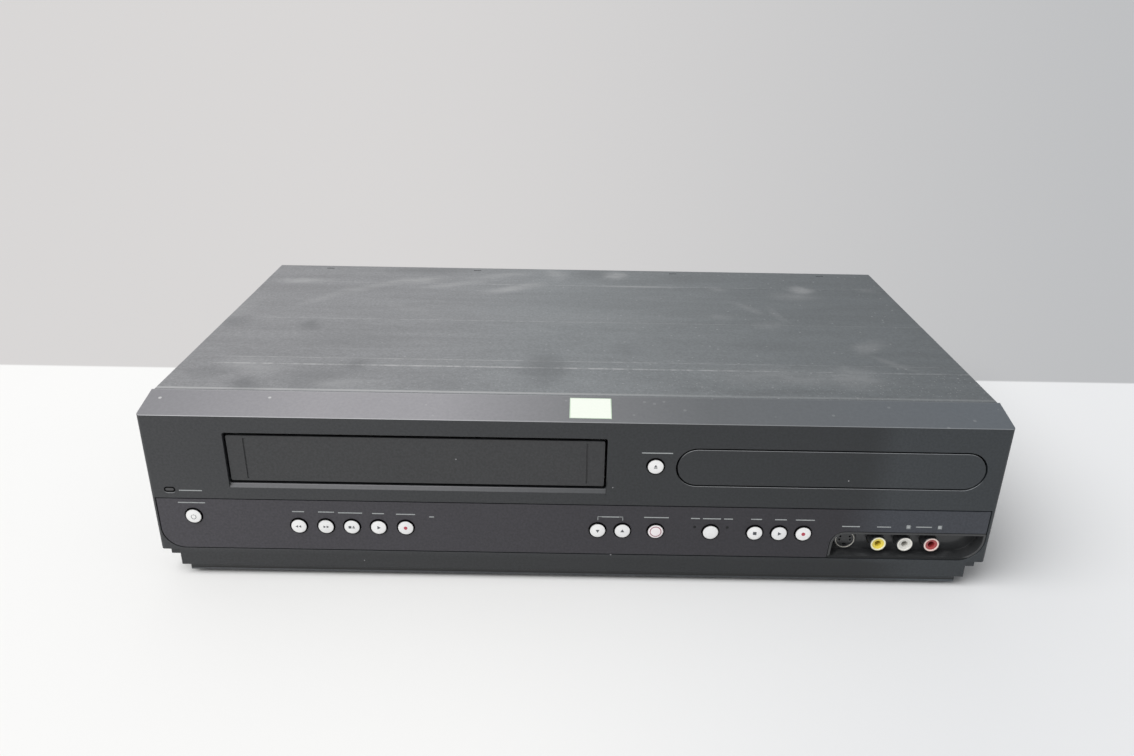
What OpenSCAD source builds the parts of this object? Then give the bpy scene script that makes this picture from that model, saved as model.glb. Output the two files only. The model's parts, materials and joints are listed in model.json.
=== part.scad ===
// Disc recorder and cassette deck combination in one low cabinet.
// Millimetres, +Z up, front towards -Y. The origin is under the middle of the
// cabinet, on the surface that the feet stand on.

/* [Cabinet] */
// Width of the front moulding
body_w = 435; // [425:1:450]
// Height of the cabinet, feet included
body_h = 99.5; // [99:0.5:102]
// Depth from the front face to the rear edge of the top cover
cover_depth = 242; // [240:1:250]
// Height of the front face, up to the sloping edge
face_top = 94.5; // [94:0.1:95.5]
// Depth of the sloping edge along the top of the front
slope_depth = 21.3; // [20:0.1:23]
// Sheet thickness of the top cover
cover_t = 0.8; // [0.6:0.1:1]

/* [Cassette slot] */
// Left end of the cassette opening
slot_left = -176.2; // [-178:0.1:-175]
// Right end of the cassette opening
slot_right = 16.2; // [15:0.1:18]
// Front edge of the sill under the cassette opening
slot_low = 54.1; // [53.6:0.1:54.6]
// Top of the cassette opening
slot_high = 85.5; // [85:0.1:86]
// Travel of the cassette holder into the deck
holder_travel = 60; // [50:1:62]

/* [Disc drawer] */
// Middle of the drawer front across the cabinet
drawer_x = 129.5; // [128:0.1:131]
// Middle height of the drawer front
drawer_z = 70.1; // [69.5:0.1:70.5]
// Length of the drawer opening
drawer_w = 157; // [155:0.1:158]
// Height of the drawer opening, with fully round ends
drawer_h = 21.8; // [21:0.1:22.4]
// Gap around the drawer front
drawer_gap = 0.9; // [0.6:0.1:1.2]

/* [Push buttons] */
// Diameter of a button's face
button_d = 8.3; // [8:0.1:8.6]
// Diameter of the hole that a button stands in
button_hole_d = 9.5; // [9:0.1:9.6]
// Height of a button's crown in front of the panel
button_proud = 0.8; // [0.5:0.1:1]
// Travel of a button
button_travel = 1; // [0.6:0.1:1]

/* [Mechanism] */
// Radius of the tape drum
drum_r = 31; // [30:0.1:31]
// Lean of the tape drum, in degrees
drum_lean = 5.9; // [5:0.1:6]
// Module of the drawer's rack and gear
gear_module = 1; // [1:0.1:1]
// Teeth on the drawer's gear
gear_teeth = 20; // [20:1:20]

/* [Hidden] */
$fn = 64;
eps = 0.1;
half_w = body_w / 2;
rear_reach = 11.2;
front_y = button_proud - (button_proud + cover_depth + rear_reach) / 2;

// Colours
cabinet_black = [0.25, 0.26, 0.27];
panel_black = [0.27, 0.26, 0.28];
gloss_black = [0.08, 0.08, 0.09];
pearl_white = [0.9, 0.9, 0.88];
ring_pink = [0.9, 0.72, 0.74];
plug_yellow = [0.9, 0.78, 0.15];
plug_white = [0.92, 0.92, 0.9];
plug_red = [0.75, 0.12, 0.12];
bare_steel = [0.72, 0.73, 0.74];
bright_steel = [0.82, 0.83, 0.84];
board_green = [0.12, 0.35, 0.2];
moulded_grey = [0.35, 0.36, 0.37];
moulded_white = [0.85, 0.85, 0.83];
rubber_black = [0.1, 0.1, 0.1];
copper = [0.75, 0.5, 0.25];

// Front moulding
front_t = 3.2;
wall_t = 2.6;
corner_r = 2;
side_low = 16;
slope_top = 99.2;
skirt_half = 207.8;
step_half = 212.8;
lip_half = 204;
tongue_y = 27;

// Control panel, seated in a pocket of the front moulding
pocket_depth = 1.7;
panel_left = -215.7;
panel_right = 215.3;
panel_low = 16.9;
panel_high = 47.4;
panel_r_left = 12;
panel_r_right = 12.7;
panel_gap = 0.5;

// Push buttons: a collar behind the panel slides in a sleeve of the moulding
collar_r = 5.4;
collar_y = 2.1;
collar_t = 1;
sleeve_r = 5.7;
sleeve_t = 1.3;
sleeve_end = 7.5;
stem_r = 2;
stem_end = 10.5;
deck_row_z = 31.8;
disc_row_z = 32.1;
power_at = [-197.1, 36.9];
rewind_at = [-143, deck_row_z];
forward_at = [-128.9, deck_row_z];
stop_eject_at = [-115.4, deck_row_z];
play_at = [-101.5, deck_row_z];
record_at = [-87.4, deck_row_z];
tracking_down_at = [12.5, disc_row_z];
tracking_up_at = [25.4, disc_row_z];
dubbing_at = [42.7, disc_row_z];
source_at = [71.3, disc_row_z];
disc_stop_at = [94.3, disc_row_z];
disc_play_at = [107, disc_row_z];
disc_record_at = [119.6, disc_row_z];
open_close_at = [40.7, 70.5];
panel_buttons = [power_at, rewind_at, forward_at, stop_eject_at, play_at, record_at,
    tracking_down_at, tracking_up_at, dubbing_at, source_at, disc_stop_at, disc_play_at,
    disc_record_at];
all_buttons = concat(panel_buttons, [open_close_at]);

// Lamps
lamp_at = [-207.2, 52.5];
lamp_w = 5.6;
lamp_h = 2.8;
source_lamps_at = [[63, 34.9], [79.9, 34.9]];
source_lamp_r = 0.8;

// Recess for the front sockets
bay_floor = 7.5;
bay_wall = 1.2;
bay_top = 33.5;
bay_r = 8.3;
bay_corner = [142.4, bay_top - bay_r];
bay_foot_x = 133.6;
socket_z = 25.2;
video_x = 160.4;
phono_pitch = 14;
s_video_at = [144.3, 24.4];
phono_r = 4.15;
phono_bore_r = 1.65;
phono_front = 1.8;
phono_depth = 9;
board_y = 16;
board_t = 1.6;

// Cassette door and its hinge
door_gap = 1.2;
door_front = 1;
door_t = 2.2;
door_low = 57.9;
door_high = 83.6;
door_arm_in = 4.3;
door_arm_t = 3;
hinge_y = 6.4;
hinge_z = 89;
hinge_pin_r = 1.5;
hinge_hub_r = 2.5;
running_gap = 0.05;
sill_y = 1.5;
sill_z = slot_low + 2;

// Cassette holder and the brackets it runs in
holder_floor = 57.4;
holder_t = 1;
holder_side = 0.7;
holder_front = 12;
holder_rear = 67;
holder_wall_front = 38.6;
holder_top = 84.6;
pin_z = 70;
pin_r = 2;
pin_front = 45;
pin_rear = 62;
slot_play = 0.3;
drop = 18;
bracket_t = 1.2;
bracket_gap = 1.4;

// Tape deck
deck_z = 27;
deck_t = 1.5;
deck_front = 30;
deck_rear = 205;
cassette_x = (slot_left + slot_right) / 2;
drum_at = [cassette_x, 164];
drum_base = 8;
drum_low_h = 15;
drum_top_h = 14;
drum_split = 0.4;
reel_spacing = 92;
reel_y = 94;
capstan_at = [cassette_x + 55, 118];
pinch_at = [cassette_x + 73, 138];

// Disc drive
drive_half = 73;
drive_front = 24;
drive_rear = 204;
drive_low = 44;
drive_t = 2;
tray_half = 64.5;
tray_low = 65;
tray_top = 72;
tray_rear = 158;
disc_y = 78;
disc_r = 60;
small_disc_r = 40;
slot_half = 21;
pivot_y = 152;
pivot_z = 54;
traverse_tilt = 6;
sled_start = 24.5;
sled_half = 6.5;
rail_x = 20;
rail_r = 1.5;
pinion_r = gear_module * gear_teeth / 2;
rack_x = drawer_x - 58;
rack_low = 61.6;
rack_y = 14;
gear_at = [rack_x + pinion_r, rack_y + PI * gear_module * 8];

// Base, boards and rear
base_low = 3.2;
base_t = 1;
base_half = 205;
base_front = 21.6;
rear_y = 240;
rear_t = 1;
boards_z = 12;
post_r = 3;
foot_r = 11;
foot_x = 176;
foot_ys = [34, 214];
main_left = 28;
main_right = 203;
main_front = 116;
main_rear = 238.6;
power_front = 26;
power_rear = 109;
power_left = 62;
fan_at = [-150, 46];
fan_size = 40;
fan_depth = 12;
gland_at = [-196, 22];
gland_bore_r = 3.6;
rear_stack_xs = [82, 96, 110];
rear_stack_zs = [26, 46];
rear_component_x = 146;
rear_component_zs = [24, 40, 56];
rear_digital_at = [162, 24];
rear_seat = rear_y - 2;
rear_s_video_at = [128, 46];
tuner_at = [52, 26];
tuner_pitch = 22;
f_plug_r = 4.76;
f_neck_r = 4.3;
side_screws = [[62, 26], [196, 26]];
rear_screws = [[-210.5, 60], [-90, 92.6], [20, 92.6], [210.5, 60], [-60, 9], [120, 9]];

// Everything is drawn with its front face at y = 0 and then moved back by front_y.
module placed() {
    translate([0, front_y, 0]) children();
}

// Extrudes an outline given in x and z from y0 back to y1.
module slab_y(y0, y1) {
    translate([0, y1, 0]) rotate([90, 0, 0]) linear_extrude(height = y1 - y0) children();
}

// Extrudes an outline given in y and z from x0 to x1.
module slab_x(x0, x1) {
    translate([x0, 0, 0]) rotate([90, 0, 90]) linear_extrude(height = x1 - x0) children();
}

// Extrudes an outline given in x and y from z0 up to z1.
module slab_z(z0, z1) {
    translate([0, 0, z0]) linear_extrude(height = z1 - z0) children();
}

// A box between two corners.
module block(low, high) {
    translate(low) cube(high - low);
}

// A round bar along y.
module rod_y(at, r, y0, y1) {
    translate([at[0], y1, at[1]]) rotate([90, 0, 0]) cylinder(r = r, h = y1 - y0);
}

// A round bar along x.
module rod_x(x0, x1, y, z, r) {
    translate([x0, y, z]) rotate([0, 90, 0]) cylinder(r = r, h = x1 - x0);
}

// A rectangle with four equal round corners.
module round_rect(low, high, r) {
    translate([low[0] + r, low[1]]) square([high[0] - low[0] - 2 * r, high[1] - low[1]]);
    translate([low[0], low[1] + r]) square([high[0] - low[0], high[1] - low[1] - 2 * r]);
    for (x = [low[0] + r, high[0] - r], y = [low[1] + r, high[1] - r])
        translate([x, y]) circle(r = r);
}

// Points along an arc.
function arc(at, r, from, to, steps = 12) =
    [for (i = [0:steps]) let (a = from + (to - from) * i / steps)
        [at[0] + r * cos(a), at[1] + r * sin(a)]];

// The pocket for the control panel, with large round lower corners.
module panel_outline(inset = 0) {
    left = panel_left + inset;
    right = panel_right - inset;
    low_left = [panel_left + panel_r_left, panel_low + panel_r_left];
    low_right = [panel_right - panel_r_right, panel_low + panel_r_right];
    polygon(concat(
        [[left, panel_high - inset]],
        arc(low_left, panel_r_left - inset, 180, 270),
        arc(low_right, panel_r_right - inset, 270, 360),
        [[right, panel_high - inset]]));
}

// The socket recess, with a leaning left side and one round upper corner.
module bay_outline(inset = 0) {
    polygon(concat(
        [[bay_foot_x + inset, panel_low - 1]],
        arc(bay_corner, bay_r - inset, 176, 90),
        [[panel_right + 1, bay_top - inset], [panel_right + 1, panel_low - 1]]));
}

// The drawer opening, or the drawer front when it is made smaller by an inset.
module drawer_outline(inset = 0) {
    r = drawer_h / 2 - inset;
    run = drawer_w / 2 - drawer_h / 2;
    translate([drawer_x - run, drawer_z - r]) square([2 * run, 2 * r]);
    for (s = [-1, 1])
        translate([drawer_x + s * run, drawer_z]) circle(r = r);
}

// ---------------------------------------------------------------- cabinet

// Outline of the top cover from the side: one raised bead and one sunk field.
module cover_side() {
    polygon([
        [slope_depth + 0.2, 11], [slope_depth + 0.2, slope_top], [56, slope_top],
        [57, body_h], [65, body_h], [66, slope_top], [130, slope_top],
        [130.4, slope_top - 0.25], [203.6, slope_top - 0.25], [204, slope_top],
        [cover_depth, slope_top], [cover_depth, 11]]);
}

module top_cover() {
    out = half_w - 0.7;
    bend_r = 1.6;
    color(cabinet_black) placed() difference() {
        intersection() {
            slab_y(slope_depth, cover_depth) union() {
                translate([-out, 11.5]) square([2 * out, body_h - 11.5 - bend_r]);
                translate([bend_r - out, 11.5]) square([2 * (out - bend_r), body_h - 11.5]);
                for (s = [-1, 1])
                    translate([s * (out - bend_r), body_h - bend_r]) circle(r = bend_r);
            }
            slab_x(-out, out) cover_side();
        }
        block([cover_t - out, slope_depth - 1, 10],
            [out - cover_t, cover_depth - cover_t, slope_top - cover_t]);
        block([12 - out, slope_depth, 10], [out - 12, cover_depth + 1, 87]);
        for (x = [-178.7, -71.4, 71.4, 178.7])
            block([x - 2.7, cover_depth - 6.6, 90], [x + 2.7, cover_depth - 5.2, 101]);
        for (s = side_screws)
            rod_x(-half_w, half_w, s[0], s[1], 2);
        for (s = rear_screws)
            rod_y(s, 2, cover_depth - 3, cover_depth + 1);
    }
}

// One half of the base pan's section, a folded sheet.
module base_section() {
    side = half_w - 2.1;
    ledge = 12;
    polygon([
        [0, base_low], [base_half, base_low], [base_half, ledge], [side, ledge],
        [side, 40], [side - base_t, 40], [side - base_t, ledge + base_t],
        [base_half - base_t, ledge + base_t], [base_half - base_t, base_low + base_t],
        [0, base_low + base_t]]);
}

module vent_field(x, y, columns, rows) {
    for (i = [0:columns - 1], j = [0:rows - 1])
        block([x + 6 * i, y + 26 * j, 0], [x + 6 * i + 2.4, y + 26 * j + 20, 10]);
}

module chassis_base() {
    inside = half_w - 3.1;
    color(bare_steel) placed() difference() {
        union() {
            slab_y(base_front, rear_y) base_section();
            slab_y(base_front, rear_y) mirror([1, 0]) base_section();
            block([1 - base_half, base_front, base_low],
                [base_half - 1, base_front + base_t, 16]);
            block([1 - base_half, rear_y - base_t, base_low],
                [base_half - 1, rear_y, 12.6]);
            for (x = [main_left + 6, main_right - 6], y = [main_front + 6, main_rear - 8])
                translate([x, y, base_low]) cylinder(r = post_r, h = boards_z - base_low);
            for (x = [power_left + 6, main_right - 6], y = [power_front + 6, power_rear - 6])
                translate([x, y, base_low]) cylinder(r = post_r, h = boards_z - base_low);
            for (x = [-170, 10], y = [deck_front + 8, deck_rear - 8])
                translate([x, y, base_low]) cylinder(r = 4, h = deck_z - base_low);
            for (x = [drawer_x - 66, drawer_x + 66])
                translate([x, 112.8, base_low]) cylinder(r = 3, h = drive_low - base_low);
            for (x = [-150, -110, -50, -10])
                block([x - 3, 60, base_low], [x + 3, 180, base_low + base_t + 0.8]);
        }
        vent_field(drawer_x - 34, 50, 12, 2);
        vent_field(drawer_x - 54, 150, 18, 2);
        for (s = side_screws)
            rod_x(-half_w, half_w, s[0], s[1], 1.5);
        for (s = rear_screws)
            rod_y(s, 1.5, rear_y - 2, rear_y + 1);
    }
}

module rear_panel() {
    side = half_w - 3.3;
    color(bare_steel) placed() difference() {
        union() {
            block([-side, rear_y, 4.4], [side, rear_y + rear_t, 97.6]);
            block([-side, rear_y - 10, 96.6], [side, rear_y + rear_t, 97.6]);
            for (s = [-1, 1])
                block([s * side - (s > 0 ? rear_t : 0), rear_y - 10, 42],
                    [s * side + (s < 0 ? rear_t : 0), rear_y, 97.6]);
        }
        for (i = [-4:4])
            block([fan_at[0] + 4.2 * i - 1.2, rear_y - 1,
                    fan_at[1] - sqrt(324 - pow(4.2 * i, 2))],
                [fan_at[0] + 4.2 * i + 1.2, rear_y + 2,
                    fan_at[1] + sqrt(324 - pow(4.2 * i, 2))]);
        for (x = rear_stack_xs, z = rear_stack_zs)
            rod_y([x, z], phono_r + 0.4, rear_y - 1, rear_y + 2);
        for (z = rear_component_zs)
            rod_y([rear_component_x, z], phono_r + 0.4, rear_y - 1, rear_y + 2);
        rod_y(rear_digital_at, phono_r + 0.4, rear_y - 1, rear_y + 2);
        rod_y(rear_s_video_at, 6.4, rear_y - 1, rear_y + 2);
        for (i = [0, 1])
            rod_y(tuner_at + [0, tuner_pitch * i], 5.4, rear_y - 1, rear_y + 2);
        block([178, rear_y - 1, 16], [193.6, rear_y + 2, 22.2]);
        block([gland_at[0] - 6, rear_y - 1, gland_at[1] - 6.6],
            [gland_at[0] + 6, rear_y + 2, gland_at[1] + 6.6]);
        for (i = [0:9])
            block([-106 + 7 * i, rear_y - 1, 22], [-103.4 + 7 * i, rear_y + 2, 44]);
        for (s = rear_screws)
            rod_y(s, 1.5, rear_y - 1, rear_y + 2);
    }
}

// The solid shape of the front moulding before it is hollowed.
module bezel_body() {
    intersection() {
        slab_z(side_low, body_h) union() {
            translate([-half_w, corner_r])
                square([body_w, slope_depth - corner_r]);
            translate([corner_r - half_w, 0])
                square([body_w - 2 * corner_r, slope_depth]);
            for (s = [-1, 1])
                translate([s * (half_w - corner_r), corner_r]) circle(r = corner_r);
        }
        slab_x(-half_w, half_w) polygon([
            [0, side_low], [0, face_top], [slope_depth, slope_top],
            [slope_depth, side_low]]);
    }
    block([-step_half, 1, 12.7], [step_half, slope_depth, side_low]);
    block([-skirt_half, 0, 6.5], [skirt_half, slope_depth, side_low]);
    block([-lip_half, 1.5, 2.5], [lip_half, slope_depth, 6.5]);
}

// Space behind the front wall.
module bezel_hollow() {
    slab_x(wall_t - half_w, half_w - wall_t) polygon([
        [front_t, side_low + wall_t], [front_t, face_top - 2.1],
        [slope_depth + eps, slope_top - 2.4], [slope_depth + eps, side_low + wall_t]]);
    block([wall_t - lip_half, front_t + 0.8, 4.6], [lip_half - wall_t, 22, 20]);
}

// Returns behind the cassette opening, with the ears of the door hinge.
module slot_returns() {
    for (x = [slot_left - 2.4, slot_right])
        block([x, front_t - eps, sill_z - 4], [x + 2.4, 11, 92.4]);
    block([slot_left - 2.4, front_t - eps, sill_z - 4], [slot_right + 2.4, 9, sill_z]);
}

// Rim behind the drawer opening.
module drawer_returns() {
    slab_y(front_t - eps, 9) difference() {
        drawer_outline(-2);
        drawer_outline();
    }
}

// Posts and clips behind the front wall.
module bezel_fixings() {
    for (at = all_buttons)
        rod_y(at, sleeve_r + sleeve_t, front_t - eps, sleeve_end);
    for (at = [[-170, 22], [-60, 42], [60, 22], [128, 42]])
        rod_y(at, 3, front_t - eps, board_y);
    for (x = [-150, 0, 150])
        block([x - 10, 19, 96.4], [x + 10, tongue_y, 98.3]);
    for (s = [-1, 1])
        block([s * (half_w - 2.3) - 0.7, 17, 40], [s * (half_w - 2.3) + 0.7, tongue_y, 80]);
}

module front_bezel() {
    color(cabinet_black) placed() difference() {
        union() {
            difference() {
                bezel_body();
                bezel_hollow();
            }
            slot_returns();
            drawer_returns();
            bezel_fixings();
        }
        slab_y(-1, pocket_depth) panel_outline();
        slab_y(0, 20) intersection() {
            bay_outline(0.1);
            panel_outline(0.2);
        }
        slab_y(-1, 20) round_rect([slot_left, sill_z], [slot_right, slot_high], 1.2);
        slab_x(slot_left, slot_right) polygon([
            [-sill_y, 2 * slot_low - sill_z], [sill_y, sill_z], [sill_y, sill_z + 1],
            [-sill_y, sill_z + 1]]);
        slab_y(-1, 20) drawer_outline();
        for (at = panel_buttons)
            rod_y(at, sleeve_r, 0, sleeve_end + 1);
        rod_y(open_close_at, button_hole_d / 2, -1, 3);
        rod_y(open_close_at, sleeve_r, pocket_depth, sleeve_end + 1);
        slab_y(-1, 4) round_rect(
            lamp_at - [lamp_w / 2, lamp_h / 2], lamp_at + [lamp_w / 2, lamp_h / 2], 1.3);
        for (at = source_lamps_at)
            rod_y(at, source_lamp_r + 0.6, -1, 4);
        rod_x(slot_left - 2, slot_right + 2, hinge_y, hinge_z, hinge_pin_r + running_gap);
    }
}

module control_panel() {
    color(panel_black) placed() difference() {
        slab_y(0.1, pocket_depth) difference() {
            panel_outline(panel_gap);
            bay_outline(-0.1);
        }
        for (at = panel_buttons)
            rod_y(at, button_hole_d / 2, -1, 3);
        for (at = source_lamps_at)
            rod_y(at, source_lamp_r, -1, 3);
    }
}

module jack_bay() {
    color(gloss_black) placed() difference() {
        union() {
            slab_y(0.1, bay_floor + 1.5) intersection() {
                bay_outline(0.2);
                panel_outline(0.3);
            }
            slab_y(front_t, front_t + bay_wall) intersection() {
                bay_outline(-2.3);
                translate([120, side_low + wall_t + 0.2]) square([94.6, 30]);
            }
        }
        slab_y(-1, bay_floor) intersection() {
            bay_outline(0.2 + bay_wall);
            panel_outline(0.3 + bay_wall);
        }
        for (i = [0:2])
            rod_y([video_x + phono_pitch * i, socket_z], phono_r + 0.3, 0, 12);
        rod_y(s_video_at, 6.1, 0, 12);
    }
}

module feet() {
    color(rubber_black) placed() for (s = [-1, 1], y = foot_ys)
        translate([s * foot_x, y, 0]) rotate_extrude() polygon([
            [0, 0.8], [6, 0.8], [6.6, 0], [10, 0], [foot_r, 1], [foot_r, base_low],
            [0, base_low]]);
}

// A pan-head screw along +y, its head on the side of lower y when turned.
module screw() {
    rotate([90, 0, 0]) difference() {
        union() {
            cylinder(r = 3.4, h = 1.3);
            translate([0, 0, -6]) cylinder(r = 1.45, h = 6.1);
        }
        for (a = [0, 90])
            rotate([0, 0, a]) translate([-2, -0.4, 0.5]) cube([4, 0.8, 1]);
    }
}

module case_screws() {
    color(rubber_black) placed() {
        for (s = side_screws) {
            translate([half_w - 0.7, s[0], s[1]]) rotate([0, 0, 90]) screw();
            translate([0.7 - half_w, s[0], s[1]]) rotate([0, 0, -90]) screw();
        }
        for (s = rear_screws)
            translate([s[0], s[1] > 20 ? cover_depth : rear_y + rear_t, s[1]])
                rotate([0, 0, 180]) screw();
    }
}

// ---------------------------------------------------------------- front parts

module cassette_door() {
    left = slot_left + door_gap;
    right = slot_right - door_gap;
    back = door_front + door_t;
    arms = [slot_left + door_arm_in, slot_right - door_arm_in - door_arm_t];
    color(panel_black) placed() difference() {
        union() {
            slab_y(door_front, back) round_rect([left, door_low], [right, door_high], 1);
            for (x = arms)
                slab_x(x, x + door_arm_t) polygon([
                    [back - 0.2, 80], [back - 0.2, door_high - 0.2], [front_t + 0.7, 86.2],
                    [hinge_y - hinge_hub_r + 0.1, hinge_z], [hinge_y + hinge_hub_r, hinge_z],
                    [hinge_y + 1.2, 84]]);
            for (x = arms)
                rod_x(x, x + door_arm_t, hinge_y, hinge_z, hinge_hub_r);
            rod_x(slot_left - 1.8, arms[0] + door_arm_t, hinge_y, hinge_z, hinge_pin_r);
            rod_x(arms[1], slot_right + 1.8, hinge_y, hinge_z, hinge_pin_r);
            for (z = [66, 76])
                slab_x(left + 8, right - 8) polygon([
                    [back - eps, z], [back + 1, z + 0.4], [back + 1, z + 1.2],
                    [back - eps, z + 1.6]]);
        }
        for (x = [slot_left + 10, slot_right - 10])
            block([x - 0.4, 0, 59.2], [x + 0.4, door_front + 0.5, door_high - 1.4]);
    }
}

// A torsion spring round the left hinge pin, with one leg on the door. The coil is one revolve
// and the legs are a little thinner, so that no round face only touches another.
module door_spring() {
    wire = 0.3;
    leg_r = 0.27;
    coil_pitch = 0.55;
    coil_r = hinge_pin_r + 0.3 + wire;
    x = slot_left + 0.5 + wire;
    color(bright_steel) placed() {
        translate([x, hinge_y, hinge_z]) rotate([0, 90, 0]) rotate_extrude()
            for (i = [0:4])
                translate([coil_r, coil_pitch * i]) circle(r = wire, $fn = 32);
        translate([x, hinge_y, hinge_z + coil_r]) rotate([-90, 0, 0])
            cylinder(r = leg_r, h = 7, $fn = 32);
        translate([x + 4 * coil_pitch, hinge_y + coil_r, hinge_z - 2.6])
            cylinder(r = leg_r, h = 2.6, $fn = 32);
    }
}

// A button: crowned face, collar and a stem towards its switch.
module push_button(at, face = pearl_white) {
    crown = 30;
    color(face) placed() translate([at[0], 0, at[1]]) rotate([-90, 0, 0]) {
        intersection() {
            translate([0, 0, -button_proud]) cylinder(d = button_d, h = 3.5);
            translate([0, 0, crown - button_proud]) sphere(r = crown, $fn = 128);
        }
        translate([0, 0, collar_y]) cylinder(r = collar_r, h = collar_t);
        translate([0, 0, collar_y]) cylinder(r = stem_r, h = stem_end - collar_y);
        for (a = [0, 90])
            rotate([0, 0, a]) translate([-3.6, -0.5, collar_y])
                cube([7.2, 1, 5]);
    }
}

module power_button() {
    push_button(power_at);
}

module rewind_button() {
    push_button(rewind_at);
}

module forward_button() {
    push_button(forward_at);
}

module stop_eject_button() {
    push_button(stop_eject_at);
}

module play_button() {
    push_button(play_at);
}

module record_button() {
    push_button(record_at);
}

module tracking_down_button() {
    push_button(tracking_down_at);
}

module tracking_up_button() {
    push_button(tracking_up_at);
}

module dubbing_button() {
    push_button(dubbing_at, ring_pink);
}

module source_button() {
    push_button(source_at);
}

module disc_stop_button() {
    push_button(disc_stop_at);
}

module disc_play_button() {
    push_button(disc_play_at);
}

module disc_record_button() {
    push_button(disc_record_at);
}

module open_close_button() {
    push_button(open_close_at);
}

module power_lamp_lens() {
    edge = [lamp_w / 2 - 0.05, lamp_h / 2 - 0.05];
    color(gloss_black) placed() {
        slab_y(0.2, front_t) round_rect(lamp_at - edge, lamp_at + edge, 1.25);
        slab_y(front_t, front_t + 1) round_rect(
            lamp_at - edge - [1, 1], lamp_at + edge + [1, 1], 1.25);
    }
}

module source_lamps() {
    color(pearl_white) placed() for (at = source_lamps_at) {
        rod_y(at, source_lamp_r - 0.02, 0.2, board_y - 4);
        rod_y(at, 1.5, board_y - 7, board_y);
    }
}

// A phono socket: barrel with a coloured lining and a bore for the plug's pin.
module phono_socket(at, front, back, tint) {
    color(tint) placed() difference() {
        union() {
            rod_y(at, phono_r, front, back);
            block([at[0] - 5, bay_floor + 1.6, at[1] - 5.6],
                [at[0] + 5, back, at[1] + 5.6]);
        }
        rod_y(at, phono_bore_r, front - 1, front + phono_depth);
        translate([at[0], front, at[1]]) rotate([-90, 0, 0])
            cylinder(r1 = 3.3, r2 = 2.9, h = 0.8);
    }
}

module video_socket() {
    phono_socket([video_x, socket_z], phono_front, board_y, plug_yellow);
}

module audio_left_socket() {
    phono_socket([video_x + phono_pitch, socket_z], phono_front, board_y, plug_white);
}

module audio_right_socket() {
    phono_socket([video_x + 2 * phono_pitch, socket_z], phono_front, board_y, plug_red);
}

// A four-pin round socket in a thin metal shroud, with a key slot.
module mini_din(at, front, back) {
    difference() {
        rod_y(at, 5.8, front, back);
        difference() {
            rod_y(at, 5.1, front - 1, front + 4.5);
            rod_y(at, 4.4, front - 2, front + 5);
        }
        for (a = [35, 145])
            rod_y(at + [3.1 * cos(a), 3.1 * sin(a)], 0.5, front - 1, front + 4, $fn = 24);
        for (a = [-5, 185])
            rod_y(at + [2.8 * cos(a), 2.8 * sin(a)], 0.5, front - 1, front + 4, $fn = 24);
        block([at[0] - 1.2, front - 1, at[1] - 3.6], [at[0] + 1.2, front + 4, at[1] - 2.5]);
    }
}

module s_video_socket() {
    color(gloss_black) placed() {
        mini_din(s_video_at, bay_floor - 0.6, board_y);
        block([s_video_at[0] - 6.6, bay_floor + 2, s_video_at[1] - 6],
            [s_video_at[0] + 6.6, board_y, s_video_at[1] + 7]);
    }
}

// ---------------------------------------------------------------- boards

module front_board() {
    low = 18.8;
    color(board_green) placed() {
        difference() {
            union() {
                block([-206, board_y, low], [206, board_y + board_t, 46]);
                block([33, board_y, low], [48.4, board_y + board_t, 77]);
            }
            for (x = [-60, 128])
                rod_y([x, 42], 1.4, board_y - 1, board_y + 3);
        }
        for (at = all_buttons) {
            block([at[0] - 3, board_y - 3, at[1] - 3], [at[0] + 3, board_y, at[1] + 3]);
            rod_y(at, 1.7, stem_end + button_travel + 0.4, board_y - 2);
        }
    }
}

module main_board() {
    top = boards_z + board_t;
    color(board_green) placed() {
        block([main_left, main_front, boards_z], [main_right, main_rear, top]);
        for (at = [[60, 150, 22], [104, 146, 30], [150, 150, 24]])
            block([at[0] - at[2] / 2, at[1] - at[2] / 2, top - eps],
                [at[0] + at[2] / 2, at[1] + at[2] / 2, top + 2]);
        for (x = [76, 92, 128, 176, 190], y = [180, 196])
            translate([x, y, top - eps]) cylinder(r = 3.1, h = 9);
        for (y = [126, 134])
            block([40, y, top - eps], [90, y + 4, top + 6]);
        for (b = [[76, 116, rear_stack_zs[1]], [140, 152, rear_component_zs[2]],
                [156, 168, rear_digital_at[1]]])
            block([b[0], 226, top - eps], [b[1], rear_seat, b[2] + 5]);
    }
}

module power_board() {
    top = boards_z + board_t;
    color(board_green) placed() {
        block([power_left, power_front, boards_z], [main_right, power_rear, top]);
        for (at = [[190, 42, 9, 24], [168, 42, 6, 20], [188, 92, 5, 16], [172, 96, 5, 16],
                [158, 98, 5, 16]])
            translate([at[0], at[1], top - eps]) cylinder(r = at[2], h = at[3]);
        block([72, 84, top - eps], [94, 104, top + 14]);
        rod_x(72, 92, 40, top + 3, 2.8);
        for (x = [70, 90])
            block([x, 36.6, top - eps], [x + 2.4, 43.4, top + 7]);
    }
}

// Switching transformer: winding between two core halves.
module transformer() {
    top = boards_z + board_t;
    color(copper) placed() {
        block([116, 56, top], [146, 84, top + 5]);
        translate([131, 70, top + 4.9]) cylinder(r = 11.4, h = 12.2);
        block([116, 56, top + 17], [146, 84, top + 22]);
        for (y = [54, 82])
            block([121, y, top + 2], [141, y + 4, top + 20]);
    }
}

module heat_sink() {
    top = boards_z + board_t;
    color(bright_steel) placed() {
        block([100, 50, top], [102, 92, top + 27]);
        for (i = [0:6])
            block([101.9, 51 + 6.4 * i, top + 3], [110, 52.2 + 6.4 * i, top + 27]);
    }
}

// ---------------------------------------------------------------- tape deck

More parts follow.
